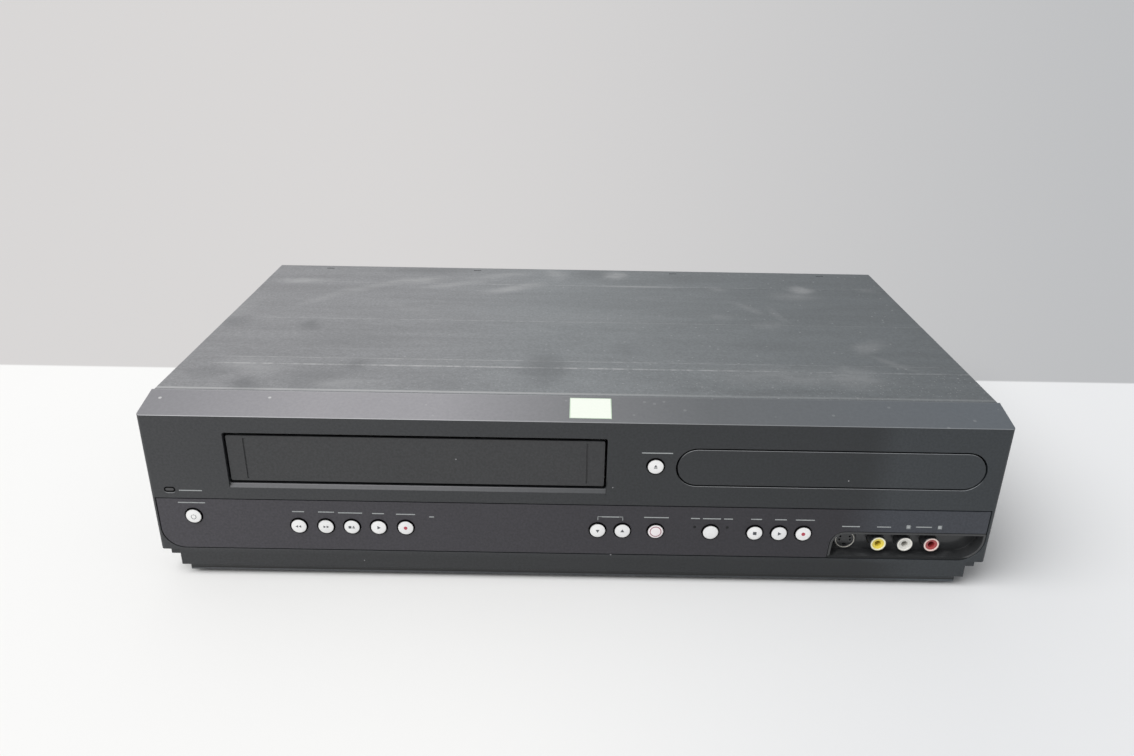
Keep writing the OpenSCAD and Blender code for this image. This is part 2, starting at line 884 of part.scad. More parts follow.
module deck_chassis() {
    top = deck_z + deck_t;
    color(bare_steel) placed() difference() {
        union() {
            block([slot_left - 4, deck_front, deck_z], [slot_right + 4, deck_rear, top]);
            block([slot_left - 4, deck_front, deck_z - 6],
                [slot_right + 4, deck_front + 1.5, top]);
            block([slot_left - 4, deck_rear - 1.5, deck_z - 6],
                [slot_right + 4, deck_rear, top]);
            for (s = [-1, 1])
                translate([cassette_x + s * reel_spacing / 2, reel_y, top - eps])
                    cylinder(r = 2, h = 16);
            translate([pinch_at[0], pinch_at[1], top - eps]) cylinder(r = 2, h = 26);
        }
        translate([drum_at[0], drum_at[1], 0]) cylinder(r = 12, h = 60);
        translate([capstan_at[0], capstan_at[1], 0]) cylinder(r = 6, h = 60);
        for (x = [-150, cassette_x - 16, 0])
            slab_z(20, 40) round_rect([x - 9, 56], [x + 9, 70], 3);
        for (s = [-1, 1])
            slab_z(20, 40) intersection() {
                difference() {
                    translate(drum_at) circle(r = 46);
                    translate(drum_at) circle(r = 41);
                }
                translate([drum_at[0] + s * 30 - 30, 112]) square([60, 50]);
            }
    }
}

// Turns children with the drum's lean, about the drum's foot.
module leaning() {
    translate([drum_at[0], drum_at[1], deck_z + deck_t]) rotate([drum_lean, 0, 0])
        children();
}

module lower_drum() {
    low = drum_base;
    color(bright_steel) placed() {
        intersection() {
            leaning() translate([0, 0, -6]) cylinder(r = 21, h = low + 6.1);
            block([-200, 100, deck_z + deck_t], [50, 230, 80]);
        }
        leaning() rotate_extrude() polygon([
            [0, low], [drum_r, low], [drum_r, low + 3.2], [drum_r - 0.4, low + 3.6],
            [drum_r - 0.4, low + drum_low_h], [0, low + drum_low_h]]);
        leaning() cylinder(r = 3, h = low + drum_low_h + drum_top_h + 3);
    }
}

module head_drum() {
    low = drum_base + drum_low_h + drum_split;
    high = low + drum_top_h;
    color(bright_steel) placed() leaning() difference() {
        rotate_extrude() polygon([
            [3 + running_gap, low], [drum_r, low], [drum_r, high - 0.8],
            [drum_r - 0.8, high], [22, high], [21, high - 3], [9, high - 3],
            [8, high], [3 + running_gap, high]]);
        for (a = [0:90:270])
            rotate([0, 0, a]) translate([drum_r - 1.6, -2, low - 1]) cube([4, 4, 4]);
        for (a = [45:90:315])
            rotate([0, 0, a]) translate([15, 0, high - 8]) cylinder(r = 1.5, h = 9);
    }
}

module capstan_motor() {
    color(bare_steel) placed() translate([capstan_at[0], capstan_at[1], 0]) difference() {
        union() {
            translate([0, 0, deck_z - 3]) cylinder(r = 20, h = 3);
            translate([0, 0, deck_z - eps]) cylinder(r = 5.5, h = 8);
        }
        translate([0, 0, 10]) cylinder(r = 1.5 + running_gap, h = 40);
    }
}

module capstan() {
    color(bright_steel) placed() translate([capstan_at[0], capstan_at[1], 0]) union() {
        translate([0, 0, 9]) cylinder(r = 1.5, h = 45);
        translate([0, 0, 9]) rotate_extrude() polygon([
            [0, 0], [23, 0], [24, 1], [24, 11], [23, 12], [18, 12], [18, 4], [7, 4],
            [7, 10], [0, 10]]);
    }
}

module pinch_roller() {
    low = deck_z + deck_t + 8;
    color(rubber_black) placed() translate([pinch_at[0], pinch_at[1], low])
        rotate_extrude() polygon([
            [2 + running_gap, 0], [5, 0], [5, 1], [6.6, 1], [7, 1.4], [7, 13.6], [6.6, 14],
            [5, 14], [5, 15], [2 + running_gap, 15]]);
}

// A reel table: flange, toothed rim and a splined hub for the cassette's spool.
module reel_table(x) {
    low = deck_z + deck_t + 1;
    color(moulded_white) placed() translate([x, reel_y, low]) difference() {
        union() {
            cylinder(r = 19, h = 2.6);
            cylinder(r = 12, h = 8);
            cylinder(r = 5.6, h = 16);
            for (a = [0:60:300])
                rotate([0, 0, a]) translate([0, -0.9, 0]) cube([7.6, 1.8, 13.5]);
        }
        translate([0, 0, -1]) cylinder(r = 2 + running_gap, h = 30);
        for (i = [0:35])
            rotate([0, 0, 10 * i]) translate([18.2, 0, -1])
                rotate([0, 0, 45]) cube([1.4, 1.4, 8]);
    }
}

module supply_reel() {
    reel_table(cassette_x - reel_spacing / 2);
}

module takeup_reel() {
    reel_table(cassette_x + reel_spacing / 2);
}

// Tape guides and the two fixed heads beside the drum.
module tape_guides() {
    top = deck_z + deck_t;
    color(bright_steel) placed() {
        for (at = [[-48, 148], [-41, 120], [46, 150], [38, 122]])
            translate([cassette_x + at[0], at[1], top]) {
                cylinder(r = 3.4, h = 2);
                cylinder(r = 1.6, h = 24);
                translate([0, 0, 20]) cylinder(r = 3, h = 2);
            }
        block([cassette_x - 62, 140, top], [cassette_x - 55, 150, top + 22]);
        block([cassette_x + 56, 148, top], [cassette_x + 62, 162, top + 22]);
    }
}

// The two side brackets and the bar that joins them over the cassette holder.
module cassette_housing() {
    path = [pin_front + holder_travel, pin_rear + holder_travel];
    r = pin_r + slot_play;
    outside = [slot_left - bracket_gap - bracket_t, slot_right + bracket_gap];
    color(bare_steel) placed() difference() {
        union() {
            for (x = outside) {
                block([x, 38, deck_z + deck_t], [x + bracket_t, 144, 90]);
                block([x - 1, 38, deck_z + deck_t], [x + bracket_t + 1, 144, 30]);
            }
            block([outside[0], 60, 89], [outside[1] + bracket_t, 84, 90]);
            block([outside[0], 124, 89], [outside[1] + bracket_t, 144, 90]);
        }
        slab_x(outside[0] - 1, outside[1] + bracket_t + 1) union() {
            translate([pin_front, pin_z - r])
                square([pin_rear - pin_front + holder_travel, 2 * r]);
            for (y = path)
                translate([y - r, pin_z - drop]) square([2 * r, drop]);
            for (y = path)
                translate([y, pin_z - drop]) circle(r = r);
            for (y = [pin_front, path[1]])
                translate([y, pin_z]) circle(r = r);
        }
        block([outside[0] - 2, 54, 40], [outside[1] + 4, 96, 58]);
    }
}

module cassette_holder() {
    left = slot_left - holder_side;
    right = slot_right + holder_side;
    low = holder_floor - holder_t;
    color(bright_steel) placed() difference() {
        union() {
            block([left, holder_front, low], [left + 32, holder_rear, holder_floor]);
            block([right - 32, holder_front, low], [right, holder_rear, holder_floor]);
            block([left, holder_rear - 14, low], [right, holder_rear, holder_floor]);
            block([left, holder_front, low], [right, holder_front + 8, holder_floor]);
            for (x = [left, right - holder_t])
                block([x, holder_wall_front, low], [x + holder_t, holder_rear, holder_top]);
            for (x = [left, right - 9])
                block([x, holder_wall_front, holder_top - holder_t],
                    [x + 9, holder_rear, holder_top]);
            block([left, holder_rear - 12, holder_top - holder_t],
                [right, holder_rear, holder_top]);
            for (x = [left, right - 12])
                block([x, holder_rear - holder_t, low], [x + 12, holder_rear, holder_top]);
            for (y = [pin_front, pin_rear]) {
                rod_x(left - 2.6, left + 0.5, y, pin_z, pin_r);
                rod_x(right - 0.5, right + 2.6, y, pin_z, pin_r);
            }
        }
        for (x = [-140, -110, -80, -50, -20])
            slab_z(80, 90) round_rect([x - 8, holder_rear - 9], [x + 8, holder_rear - 3], 2);
    }
}

// ---------------------------------------------------------------- disc drive

module tray_front() {
    color(cabinet_black) placed() {
        slab_y(0, front_t) drawer_outline(drawer_gap);
        for (s = [-1, 1])
            block([drawer_x + s * 50 - 6, front_t - eps, 64], [drawer_x + s * 50 + 6, 5, 76]);
    }
}

// One tooth of the rack in x and y, pointing to +x, centred on y = 0.
module rack_tooth(thin) {
    m = gear_module;
    half = PI * m / 4 - thin;
    slant = tan(20);
    polygon([
        [-1.25 * m - 1, -half - 1.25 * m * slant], [-1.25 * m - 1, half + 1.25 * m * slant],
        [-1.25 * m, half + 1.25 * m * slant], [m, half - m * slant],
        [m, m * slant - half], [-1.25 * m, -half - 1.25 * m * slant]]);
}

module disc_tray() {
    back = tray_rear;
    left = drawer_x - tray_half;
    right = drawer_x + tray_half;
    teeth = 46;
    color(moulded_grey) placed() difference() {
        union() {
            slab_z(tray_low, tray_top) round_rect([left, 5], [right, back], 3);
            block([left - 3, 20, tray_low], [left + 1, back, tray_low + 2.4]);
            block([right - 1, 20, tray_low], [right + 3, back, tray_low + 2.4]);
            block([rack_x - 5.4, rack_y - 3, rack_low], [rack_x - 1.25, back, tray_low + 1]);
            for (i = [0:teeth - 1])
                translate([rack_x, rack_y + PI * gear_module * i, 0])
                    slab_z(rack_low, tray_low + 0.5) rack_tooth(0.1);
        }
        translate([drawer_x, disc_y, tray_top - 2]) cylinder(r = disc_r + 1, h = 5);
        translate([drawer_x, disc_y, tray_top - 3.2]) cylinder(r = small_disc_r + 1, h = 5);
        slab_z(50, 80) union() {
            translate([drawer_x, disc_y]) circle(r = slot_half);
            translate([drawer_x - slot_half, disc_y]) square([2 * slot_half, 100]);
        }
        for (s = [-1, 1])
            translate([drawer_x + s * 62, disc_y, 50]) cylinder(r = 7, h = 30);
        translate([drawer_x, 8, 50]) cylinder(r = 13, h = 30);
    }
}

// Drive housing: floor, two rails with a groove for the tray, and a rear wall.
module drive_frame() {
    left = drawer_x - drive_half;
    right = drawer_x + drive_half;
    groove = [tray_low - 0.4, tray_low + 2.8];
    color(moulded_grey) placed() difference() {
        union() {
            block([left, drive_front, drive_low], [right, drive_rear, drive_low + drive_t]);
            for (x = [left, right - 5])
                block([x, drive_front, drive_low], [x + 5, drive_rear, 86]);
            block([left, drive_rear - drive_t, drive_low], [right, drive_rear, 86]);
            for (x = [left, right - 8])
                block([x, drive_front, tray_low - 4], [x + 8, drive_rear, groove[1] + 3]);
            for (s = [-1, 1])
                translate([drawer_x + s * 66, 112.8, drive_low]) cylinder(r = 3.6, h = 8);
            translate([gear_at[0], gear_at[1], drive_low])
                cylinder(r = 1.5, h = tray_low - 1.2 - drive_low);
        }
        for (s = [-1, 1])
            block([drawer_x + s * 66 - 2.2, drive_front - 1, groove[0]],
                [drawer_x + s * 66 + 2.2, drive_rear - 6, groove[1]]);
        slab_z(30, 60) round_rect([drawer_x - 40, 60], [drawer_x + 40, 146], 8);
        slab_z(30, 60) round_rect([drawer_x - 60, 164], [drawer_x + 60, 194], 4);
        for (y = [40, 70, 130, 160])
            slab_x(left - 1, right + 1) round_rect([y - 9, 50], [y + 9, 58], 2);
        for (s = [-1, 1])
            rod_x(drawer_x + s * 46 - 4, drawer_x + s * 46 + 4, pivot_y, pivot_z,
                2.5 + running_gap);
    }
}

module clamp_bridge() {
    color(bare_steel) placed() difference() {
        union() {
            block([drawer_x - drive_half, disc_y - 14, 86],
                [drawer_x + drive_half, disc_y + 14, 87]);
            block([drawer_x - drive_half, disc_y + 30, 86],
                [drawer_x + drive_half, disc_y + 44, 87]);
            translate([drawer_x, disc_y, 86]) cylinder(r = 20, h = 1);
            translate([drawer_x, disc_y, 78.4]) rotate_extrude() polygon([
                [0, 0], [13, 0], [14, 1], [14, 4], [9, 5], [9, 9.4], [13, 9.4],
                [13, 10.4], [0, 10.4]]);
        }
        translate([drawer_x - 52, disc_y, 80]) cylinder(r = 4, h = 20);
        translate([drawer_x + 52, disc_y, 80]) cylinder(r = 4, h = 20);
    }
}

// Involute flank of a gear tooth, as points at growing radius.
function involute(base, t) = [base * (cos(t) + t * PI / 180 * sin(t)),
    base * (sin(t) - t * PI / 180 * cos(t))];

module gear_tooth(teeth, m, thin) {
    pitch = m * teeth / 2;
    base = pitch * cos(20);
    tip = pitch + m;
    tip_t = sqrt(pow(tip / base, 2) - 1) * 180 / PI;
    pitch_t = sqrt(pow(pitch / base, 2) - 1) * 180 / PI;
    at_pitch = involute(base, pitch_t);
    lead = atan2(at_pitch[1], at_pitch[0]);
    half = 90 / teeth - thin / pitch * 180 / PI;
    flank = [for (i = [0:6]) involute(base, tip_t * i / 6)];
    turned = [for (p = flank) let (a = atan2(p[1], p[0]) - lead - half, r = norm(p))
        [r * cos(a), r * sin(a)]];
    root = pitch - 1.25 * m;
    low = atan2(turned[0][1], turned[0][0]);
    polygon(concat(
        [[(root - 1) * cos(low), (root - 1) * sin(low)]], turned,
        [for (i = [6:-1:0]) [turned[i][0], -turned[i][1]]],
        [[(root - 1) * cos(low), -(root - 1) * sin(low)]]));
}

// Drawer gear, in mesh with the rack under the tray.
module tray_gear() {
    turn = 180 / gear_teeth;
    color(moulded_white) placed() translate([gear_at[0], gear_at[1], 0]) difference() {
        union() {
            slab_z(rack_low - 1, tray_low - 0.8) union() {
                circle(r = pinion_r - 1.25 * gear_module);
                for (i = [0:gear_teeth - 1])
                    rotate([0, 0, 360 * i / gear_teeth + turn])
                        gear_tooth(gear_teeth, gear_module, 0.1);
            }
            translate([0, 0, drive_low + drive_t + 0.4])
                cylinder(r = 5, h = rack_low - drive_low - drive_t - 1);
        }
        translate([0, 0, 40]) cylinder(r = 1.5 + running_gap, h = 40);
    }
}

// Places the traverse, which is tipped down about its rear pivot.
module tipped() {
    translate([drawer_x, pivot_y, pivot_z]) rotate([traverse_tilt, 0, 0]) children();
}

// Tilting frame that carries the spindle motor and the two rails.
module traverse() {
    disc = disc_y - pivot_y;
    color(moulded_grey) placed() tipped() difference() {
        union() {
            slab_z(-3, 2) difference() {
                round_rect([-38, disc - 16], [38, 4], 3);
                round_rect([-25, disc + 14], [25, -8], 2);
            }
            rod_x(-48, 48, 0, 0, 2.5);
            translate([0, disc, -3]) cylinder(r = 15, h = 7);
            for (x = [-rail_x, rail_x])
                translate([x, -7, 4]) rotate([90, 0, 0]) cylinder(r = rail_r, h = 56);
            for (x = [-rail_x, rail_x], y = [-8, disc + 12])
                block([x - 2.6, y - 1, -1], [x + 2.6, y + 2.4, 6.6]);
        }
        translate([0, disc, -4]) cylinder(r = 1.2 + running_gap, h = 20);
    }
}

module disc_spindle() {
    disc = disc_y - pivot_y;
    color(rubber_black) placed() tipped() translate([0, disc, 0]) union() {
        translate([0, 0, -3]) cylinder(r = 1.2, h = 10);
        translate([0, 0, 4.5]) rotate_extrude() polygon([
            [0, 0], [14, 0], [14, 2.4], [15, 3], [15, 4.6], [7.4, 4.6], [7.3, 6],
            [6, 7.6], [0, 7.6]]);
    }
}

module pickup_sled() {
    disc = disc_y - pivot_y;
    y = disc + sled_start;
    color(gloss_black) placed() tipped() difference() {
        union() {
            slab_z(0.6, 6.4) round_rect([-24.4, y - sled_half], [24.4, y + sled_half], 2);
            translate([0, y, 6]) cylinder(r = 5, h = 2.4);
            translate([0, y, 8]) cylinder(r = 2, h = 0.8);
        }
        for (x = [-rail_x, rail_x])
            translate([x, 0, 4]) rotate([90, 0, 0])
                cylinder(r = rail_r + running_gap, h = 90);
        block([6, y - 5, 4.4], [14, y + 5, 10]);
    }
}

// ---------------------------------------------------------------- rear parts

module fan_frame() {
    half = fan_size / 2;
    hub_y = rear_y - fan_depth + 1.5;
    color(rubber_black) placed() difference() {
        union() {
            difference() {
                slab_y(rear_y - fan_depth, rear_y) round_rect(
                    fan_at - [half, half], fan_at + [half, half], 3);
                rod_y(fan_at, 18.4, rear_y - fan_depth - 1, rear_y + 1);
            }
            rod_y(fan_at, 9, rear_y - fan_depth, hub_y);
            for (a = [30:120:270])
                translate([fan_at[0], rear_y - fan_depth, fan_at[1]]) rotate([0, a, 0])
                    block([0, 0, -1.2], [18.8, 1.5, 1.2]);
            rod_y(fan_at, 1.2, hub_y - 0.5, rear_y - 1.6);
        }
        for (x = [-16, 16], z = [-16, 16])
            rod_y(fan_at + [x, z], 1.6, rear_y - fan_depth - 1, rear_y + 1);
    }
}

module fan_rotor() {
    front = rear_y - fan_depth + 2;
    back = rear_y - 1.2;
    color(rubber_black) placed() difference() {
        union() {
            rod_y(fan_at, 9.5, front, back);
            for (i = [0:6])
                translate([fan_at[0], (front + back) / 2, fan_at[1]])
                    rotate([0, 360 * i / 7, 0]) rotate([35, 0, 0])
                    block([8, -3.6, -0.6], [17.2, 3.6, 0.6]);
        }
        rod_y(fan_at, 1.2 + running_gap, front - 1, back - 0.3);
    }
}

// A rear socket's barrel and bore, its mouth towards +y.
module rear_barrel(at) {
    difference() {
        rod_y(at, phono_r, rear_seat, rear_y + 9);
        rod_y(at, phono_bore_r, rear_y, rear_y + 10);
    }
}

// Ten barrels that stand on the mouldings of the main board.
module rear_phono_sockets() {
    color(moulded_white) placed() {
        for (x = rear_stack_xs, z = rear_stack_zs)
            rear_barrel([x, z]);
        for (z = rear_component_zs)
            rear_barrel([rear_component_x, z]);
        rear_barrel(rear_digital_at);
    }
}

// Tuner can with its two aerial sockets. Each thread starts behind a narrow neck.
module tuner() {
    low = boards_z + board_t;
    thread_from = rear_y + rear_t + 0.6;
    color(bright_steel) placed() {
        block([tuner_at[0] - 9, 206, low], [tuner_at[0] + 9, rear_y - 0.2, 60]);
        for (i = [0, 1])
            difference() {
                union() {
                    rod_y(tuner_at + [0, tuner_pitch * i], f_neck_r, rear_y - 1, thread_from + eps);
                    rod_y(tuner_at + [0, tuner_pitch * i], f_plug_r, thread_from,
                        rear_y + rear_reach + 2);
                }
                rod_y(tuner_at + [0, tuner_pitch * i], 0.6, rear_y + 2, rear_y + 20, $fn = 24);
            }
    }
}

// Round four-pin socket and the flat digital video socket.
module rear_data_sockets() {
    low = boards_z + board_t;
    color(bare_steel) placed() {
        mirror([0, 1, 0]) mini_din(rear_s_video_at, -rear_y - 2, -228);
        block([121.4, 228, low], [134.6, rear_y - 0.2, 52.6]);
        difference() {
            block([178.4, 228, 16.4], [193.2, rear_y + 2, 21.8]);
            block([179, rear_y - 8, 17], [192.6, rear_y + 3, 21.2]);
        }
        block([180.6, rear_y - 9, 18.6], [191, rear_y + 0.6, 19.6]);
        block([180, 229, low], [191.6, rear_y - 2, 16.4]);
    }
}

// Bush in the rear panel for the mains lead.
module cord_gland() {
    color(rubber_black) placed() difference() {
        union() {
            slab_y(rear_y + rear_t, rear_y + 8) round_rect(
                gland_at - [7.4, 8], gland_at + [7.4, 8], 3);
            slab_y(rear_y - 6, rear_y + rear_t + eps) round_rect(
                gland_at - [5.9, 6.5], gland_at + [5.9, 6.5], 2);
            slab_y(rear_y - 6, rear_y - 0.4) round_rect(
                gland_at - [7, 6.4], gland_at + [7, 6.4], 2);
        }
        rod_y(gland_at, gland_bore_r, rear_y - 10, rear_y + 12);
    }
}

top_cover();
chassis_base();
rear_panel();
front_bezel();
control_panel();
jack_bay();
cassette_door();
door_spring();
disc_tray();
tray_front();
power_button();
rewind_button();
forward_button();
stop_eject_button();
play_button();
record_button();
tracking_down_button();
tracking_up_button();
dubbing_button();
source_button();
disc_stop_button();
disc_play_button();
disc_record_button();
open_close_button();
power_lamp_lens();
source_lamps();
s_video_socket();
video_socket();
audio_left_socket();
audio_right_socket();
feet();
case_screws();
cord_gland();
front_board();
main_board();
power_board();
transformer();
heat_sink();
deck_chassis();
lower_drum();
head_drum();
capstan_motor();
capstan();
pinch_roller();
supply_reel();
takeup_reel();
tape_guides();
cassette_housing();
cassette_holder();
drive_frame();
clamp_bridge();
tray_gear();
traverse();
disc_spindle();
pickup_sled();
fan_frame();
fan_rotor();
rear_phono_sockets();
tuner();
rear_data_sockets();
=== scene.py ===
# %% [markdown]
# # A disc recorder and cassette deck, dressed for the camera
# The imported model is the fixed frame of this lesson: every piece is already at its real place and size, in
# metres. We load it first and never move it. What Blender adds is the look: soft edges, finishes, printed
# marks and the small shells and linings that catch the light.

import json
import math

import bpy
from mathutils import Matrix, Vector

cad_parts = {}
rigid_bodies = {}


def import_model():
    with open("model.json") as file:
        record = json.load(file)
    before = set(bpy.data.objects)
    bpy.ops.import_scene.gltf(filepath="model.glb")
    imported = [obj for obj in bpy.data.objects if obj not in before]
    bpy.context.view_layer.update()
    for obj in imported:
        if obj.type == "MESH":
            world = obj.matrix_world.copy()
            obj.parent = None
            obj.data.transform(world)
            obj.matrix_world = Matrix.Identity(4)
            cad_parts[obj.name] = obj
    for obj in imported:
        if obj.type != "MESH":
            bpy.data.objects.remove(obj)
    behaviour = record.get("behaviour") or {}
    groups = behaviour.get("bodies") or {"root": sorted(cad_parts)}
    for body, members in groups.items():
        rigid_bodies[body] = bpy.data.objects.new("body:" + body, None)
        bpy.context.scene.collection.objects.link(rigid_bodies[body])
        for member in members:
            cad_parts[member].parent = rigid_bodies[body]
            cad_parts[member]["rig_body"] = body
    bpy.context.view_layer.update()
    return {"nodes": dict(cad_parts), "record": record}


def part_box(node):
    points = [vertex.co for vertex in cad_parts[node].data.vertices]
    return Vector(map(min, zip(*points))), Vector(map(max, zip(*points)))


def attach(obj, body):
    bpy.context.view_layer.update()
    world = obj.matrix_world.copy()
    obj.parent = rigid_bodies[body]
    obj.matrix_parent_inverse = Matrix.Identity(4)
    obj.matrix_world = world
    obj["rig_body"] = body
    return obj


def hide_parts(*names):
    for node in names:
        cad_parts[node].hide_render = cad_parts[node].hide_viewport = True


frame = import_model()
MM = 0.001
scene = bpy.context.scene
front_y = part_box("front_bezel")[0].y / MM
print("frame loaded:", len(frame["nodes"]), "nodes, front face at y =", round(front_y, 2), "mm")


# %% [markdown]
# ## Camera
# A product picture is taken from a little above, looking down at the front. A camera object looks along its
# own -Z, so we build its right, up and back directions from a pitch and a small roll and put them in the
# columns of its matrix. The lens is a short one, which gives the strong convergence of the sides.

# %% Place the camera
CAMERA_AT = Vector((-4.7, -523.7, 293.2)) * MM
PITCH = math.radians(23.74)
ROLL = math.radians(0.95)

camera = bpy.data.objects.new("camera", bpy.data.cameras.new("camera"))
scene.collection.objects.link(camera)
scene.camera = camera
camera.data.sensor_width = 36
camera.data.lens = 28.57
camera.data.clip_start = 0.01
forward = Vector((0, math.cos(PITCH), -math.sin(PITCH)))
level_up = Vector((0, math.sin(PITCH), math.cos(PITCH)))
right = math.cos(ROLL) * Vector((1, 0, 0)) + math.sin(ROLL) * level_up
up = math.cos(ROLL) * level_up - math.sin(ROLL) * Vector((1, 0, 0))
camera.matrix_world = Matrix.Translation(CAMERA_AT) @ Matrix((right, up, -forward)).transposed().to_4x4()
scene.view_settings.view_transform = "Standard"
print("camera height above the floor:", round(CAMERA_AT.z / MM), "mm")


# %% [markdown]
# ## Shader helpers
# A procedural finish is a small graph of nodes. The first helper adds a node and wires its inputs, the second
# makes a material whose constant values sit on the shader's own sockets, and the others stand for one or two
# nodes. All patterns read Object coordinates, which for our pieces are metres in the frame.

# %% Node helpers
def wire(tree, kind, inputs=None, **settings):
    """Adds a shader node. Its inputs are numbers, colours or sockets of other nodes."""
    node = tree.nodes.new("ShaderNode" + kind)
    for name, value in settings.items():
        setattr(node, name, value)
    for key, value in (inputs or {}).items():
        if isinstance(value, bpy.types.NodeSocket):
            tree.links.new(value, node.inputs[key])
        else:
            node.inputs[key].default_value = value
    return node


def new_finish(name, **constants):
    """A principled material. Returns it with its node tree, its shader and its coordinates."""
    finish = bpy.data.materials.new(name)
    finish.use_nodes = True
    tree = finish.node_tree
    shader = tree.nodes["Principled BSDF"]
    for socket, value in constants.items():
        shader.inputs[socket.replace("_", " ")].default_value = value
    place = wire(tree, "TexCoord").outputs["Object"]
    return finish, tree, shader, place


def noise(tree, place, scale, detail=3.0, rough=0.5, distort=0.0):
    return wire(tree, "TexNoise", {"Vector": place, "Scale": scale, "Detail": detail,
        "Roughness": rough, "Distortion": distort}).outputs["Fac"]


def between(tree, value, low, high, to_low=0.0, to_high=1.0):
    """Maps low..high of a value to to_low..to_high, smoothly and clamped."""
    return wire(tree, "MapRange", {"Value": value, "From Min": low, "From Max": high,
        "To Min": to_low, "To Max": to_high}, interpolation_type="SMOOTHSTEP").outputs["Result"]


def blend(tree, share, first, second):
    mix = wire(tree, "Mix", {0: share}, data_type="RGBA")
    for socket, value in ((mix.inputs[6], first), (mix.inputs[7], second)):
        if isinstance(value, bpy.types.NodeSocket):
            tree.links.new(value, socket)
        else:
            socket.default_value = (*value, 1)
    return mix.outputs[2]


def maths(tree, operation, first, second=0.0, third=0.0):
    return wire(tree, "Math", {0: first, 1: second, 2: third}, operation=operation).outputs[0]


def times(tree, first, *others):
    for value in others:
        first = maths(tree, "MULTIPLY", first, value)
    return first


def most(tree, first, second):
    return maths(tree, "MAXIMUM", first, second)


def above(tree, value, limit):
    return maths(tree, "GREATER_THAN", value, limit)


def below(tree, value, limit):
    return maths(tree, "LESS_THAN", value, limit)


def axes_of(tree, place):
    """The X, Y and Z sockets of a place."""
    return wire(tree, "SeparateXYZ", {0: place}).outputs


def brightened(tree, colour, factor):
    return wire(tree, "VectorMath", {0: colour, "Scale": factor}, operation="SCALE").outputs[0]


def stretched(tree, place, scale, turn=(0, 0, 0)):
    return wire(tree, "Mapping", {"Vector": place, "Scale": scale, "Rotation": turn}).outputs[0]


def upwards(tree, low, high):
    """How far a surface looks up, from 0 to 1. Dust only settles where it does, and the painted light that
    goes with it is laid there too.
    """
    normal = wire(tree, "NewGeometry").outputs["Normal"]
    return between(tree, axes_of(tree, normal)["Z"], low, high)


def set_bump(tree, shader, height, distance, strength):
    bump = wire(tree, "Bump", {"Height": height, "Distance": distance, "Strength": strength})
    tree.links.new(bump.outputs["Normal"], shader.inputs["Normal"])


def set_link(tree, shader, **sockets):
    for name, value in sockets.items():
        tree.links.new(value, shader.inputs[name.replace("_", " ")])


# %% [markdown]
# ## Floor and light
# The cabinet stands on a pale sheet that turns light grey a little way behind it. One flat plane does both:
# its colour changes along Y, and painted shade darkens it a little towards the right. Its gloss is off, so
# that it stays even all the way back. The light is a large soft lamp high on the left, in front, and a pale
# sky that is brighter on the left. A sun lamp with a wide angle is used, because it lights the whole sheet
# evenly.

# %% Floor
FLOOR_LEFT = (0.845, 0.84, 0.83)
FLOOR_RIGHT = (0.72, 0.725, 0.735)
BACK_LEFT = (0.60, 0.585, 0.58)
BACK_RIGHT = (0.44, 0.445, 0.455)
GREY_STARTS = 0.151


def floor_finish():
    finish, tree, shader, place = new_finish("studio_floor", Roughness=0.9, Specular_IOR_Level=0.0)
    axes = axes_of(tree, place)
    from_camera = maths(tree, "SUBTRACT", axes["Y"], CAMERA_AT.y)
    sideways = maths(tree, "DIVIDE", axes["X"], most(tree, from_camera, 0.1))
    # Painted shade: near and far, the sheet gets darker towards the right.
    share = between(tree, sideways, -0.3, 0.75)
    cloud = between(tree, noise(tree, place, 1.6, 2), 0.3, 0.7, 0.0, 0.06)
    near = blend(tree, maths(tree, "ADD", share, cloud), FLOOR_LEFT, FLOOR_RIGHT)
    far = blend(tree, share, BACK_LEFT, BACK_RIGHT)
    beyond = between(tree, axes["Y"], GREY_STARTS - 0.002, GREY_STARTS + 0.002)
    set_link(tree, shader, Base_Color=blend(tree, beyond, near, far))
    return finish


bpy.ops.mesh.primitive_plane_add(size=400)
floor = bpy.context.object
floor.name = "floor"
floor.data.materials.append(floor_finish())
print("floor is", round(floor.dimensions.x), "m wide")

# %% Light
SKY_LEFT = 0.66
SKY_RIGHT = 0.34
LAMP_FROM = Vector((-0.75, -0.55, 1.25))
LAMP_POWER = 2.6
LAMP_ANGLE = math.radians(50)

world = bpy.data.worlds.new("studio_sky")
scene.world = world
world.use_nodes = True
sky = world.node_tree
direction = wire(sky, "TexCoord").outputs["Generated"]
across = axes_of(sky, direction)["X"]
level = between(sky, across, -0.9, 0.9, SKY_LEFT, SKY_RIGHT)
sky.nodes["Background"].inputs["Color"].default_value = (0.985, 0.995, 1.0, 1)
sky.links.new(level, sky.nodes["Background"].inputs["Strength"])

lamp = bpy.data.objects.new("soft_lamp", bpy.data.lights.new("soft_lamp", "SUN"))
scene.collection.objects.link(lamp)
lamp.data.angle = LAMP_ANGLE
lamp.data.energy = LAMP_POWER
lamp.rotation_euler = (-LAMP_FROM).to_track_quat("-Z", "Y").to_euler()
print("lamp height angle:", round(math.degrees(math.asin(LAMP_FROM.normalized().z))), "degrees")


# %% [markdown]
# ## Finishes
# Each finish is a recipe for one real surface treatment, and some also carry painted light. Moulded plastic
# has a fine spark texture and a slight mottle. Sheet metal has rolling streaks. Dust only lies on what looks
# up, so it is mixed in by the surface's normal, and so is the painted light that goes with it. Constants go
# on the shader's sockets, and only what varies is wired.

# %% Plastics
HALF_WIDTH = 217.5
SPARK_SCALE = 2600
SPARK_DEPTH = 0.00003
PALE_CHIP = (0.30, 0.30, 0.31)
RIGHT_LIGHT_FROM = (0.135, 0.165)


def across_cabinet(tree, place):
    """0 at the left end of the cabinet and 1 at the right end."""
    return maths(tree, "MULTIPLY_ADD", axes_of(tree, place)["X"], 0.5 / (HALF_WIDTH * MM), 0.5)


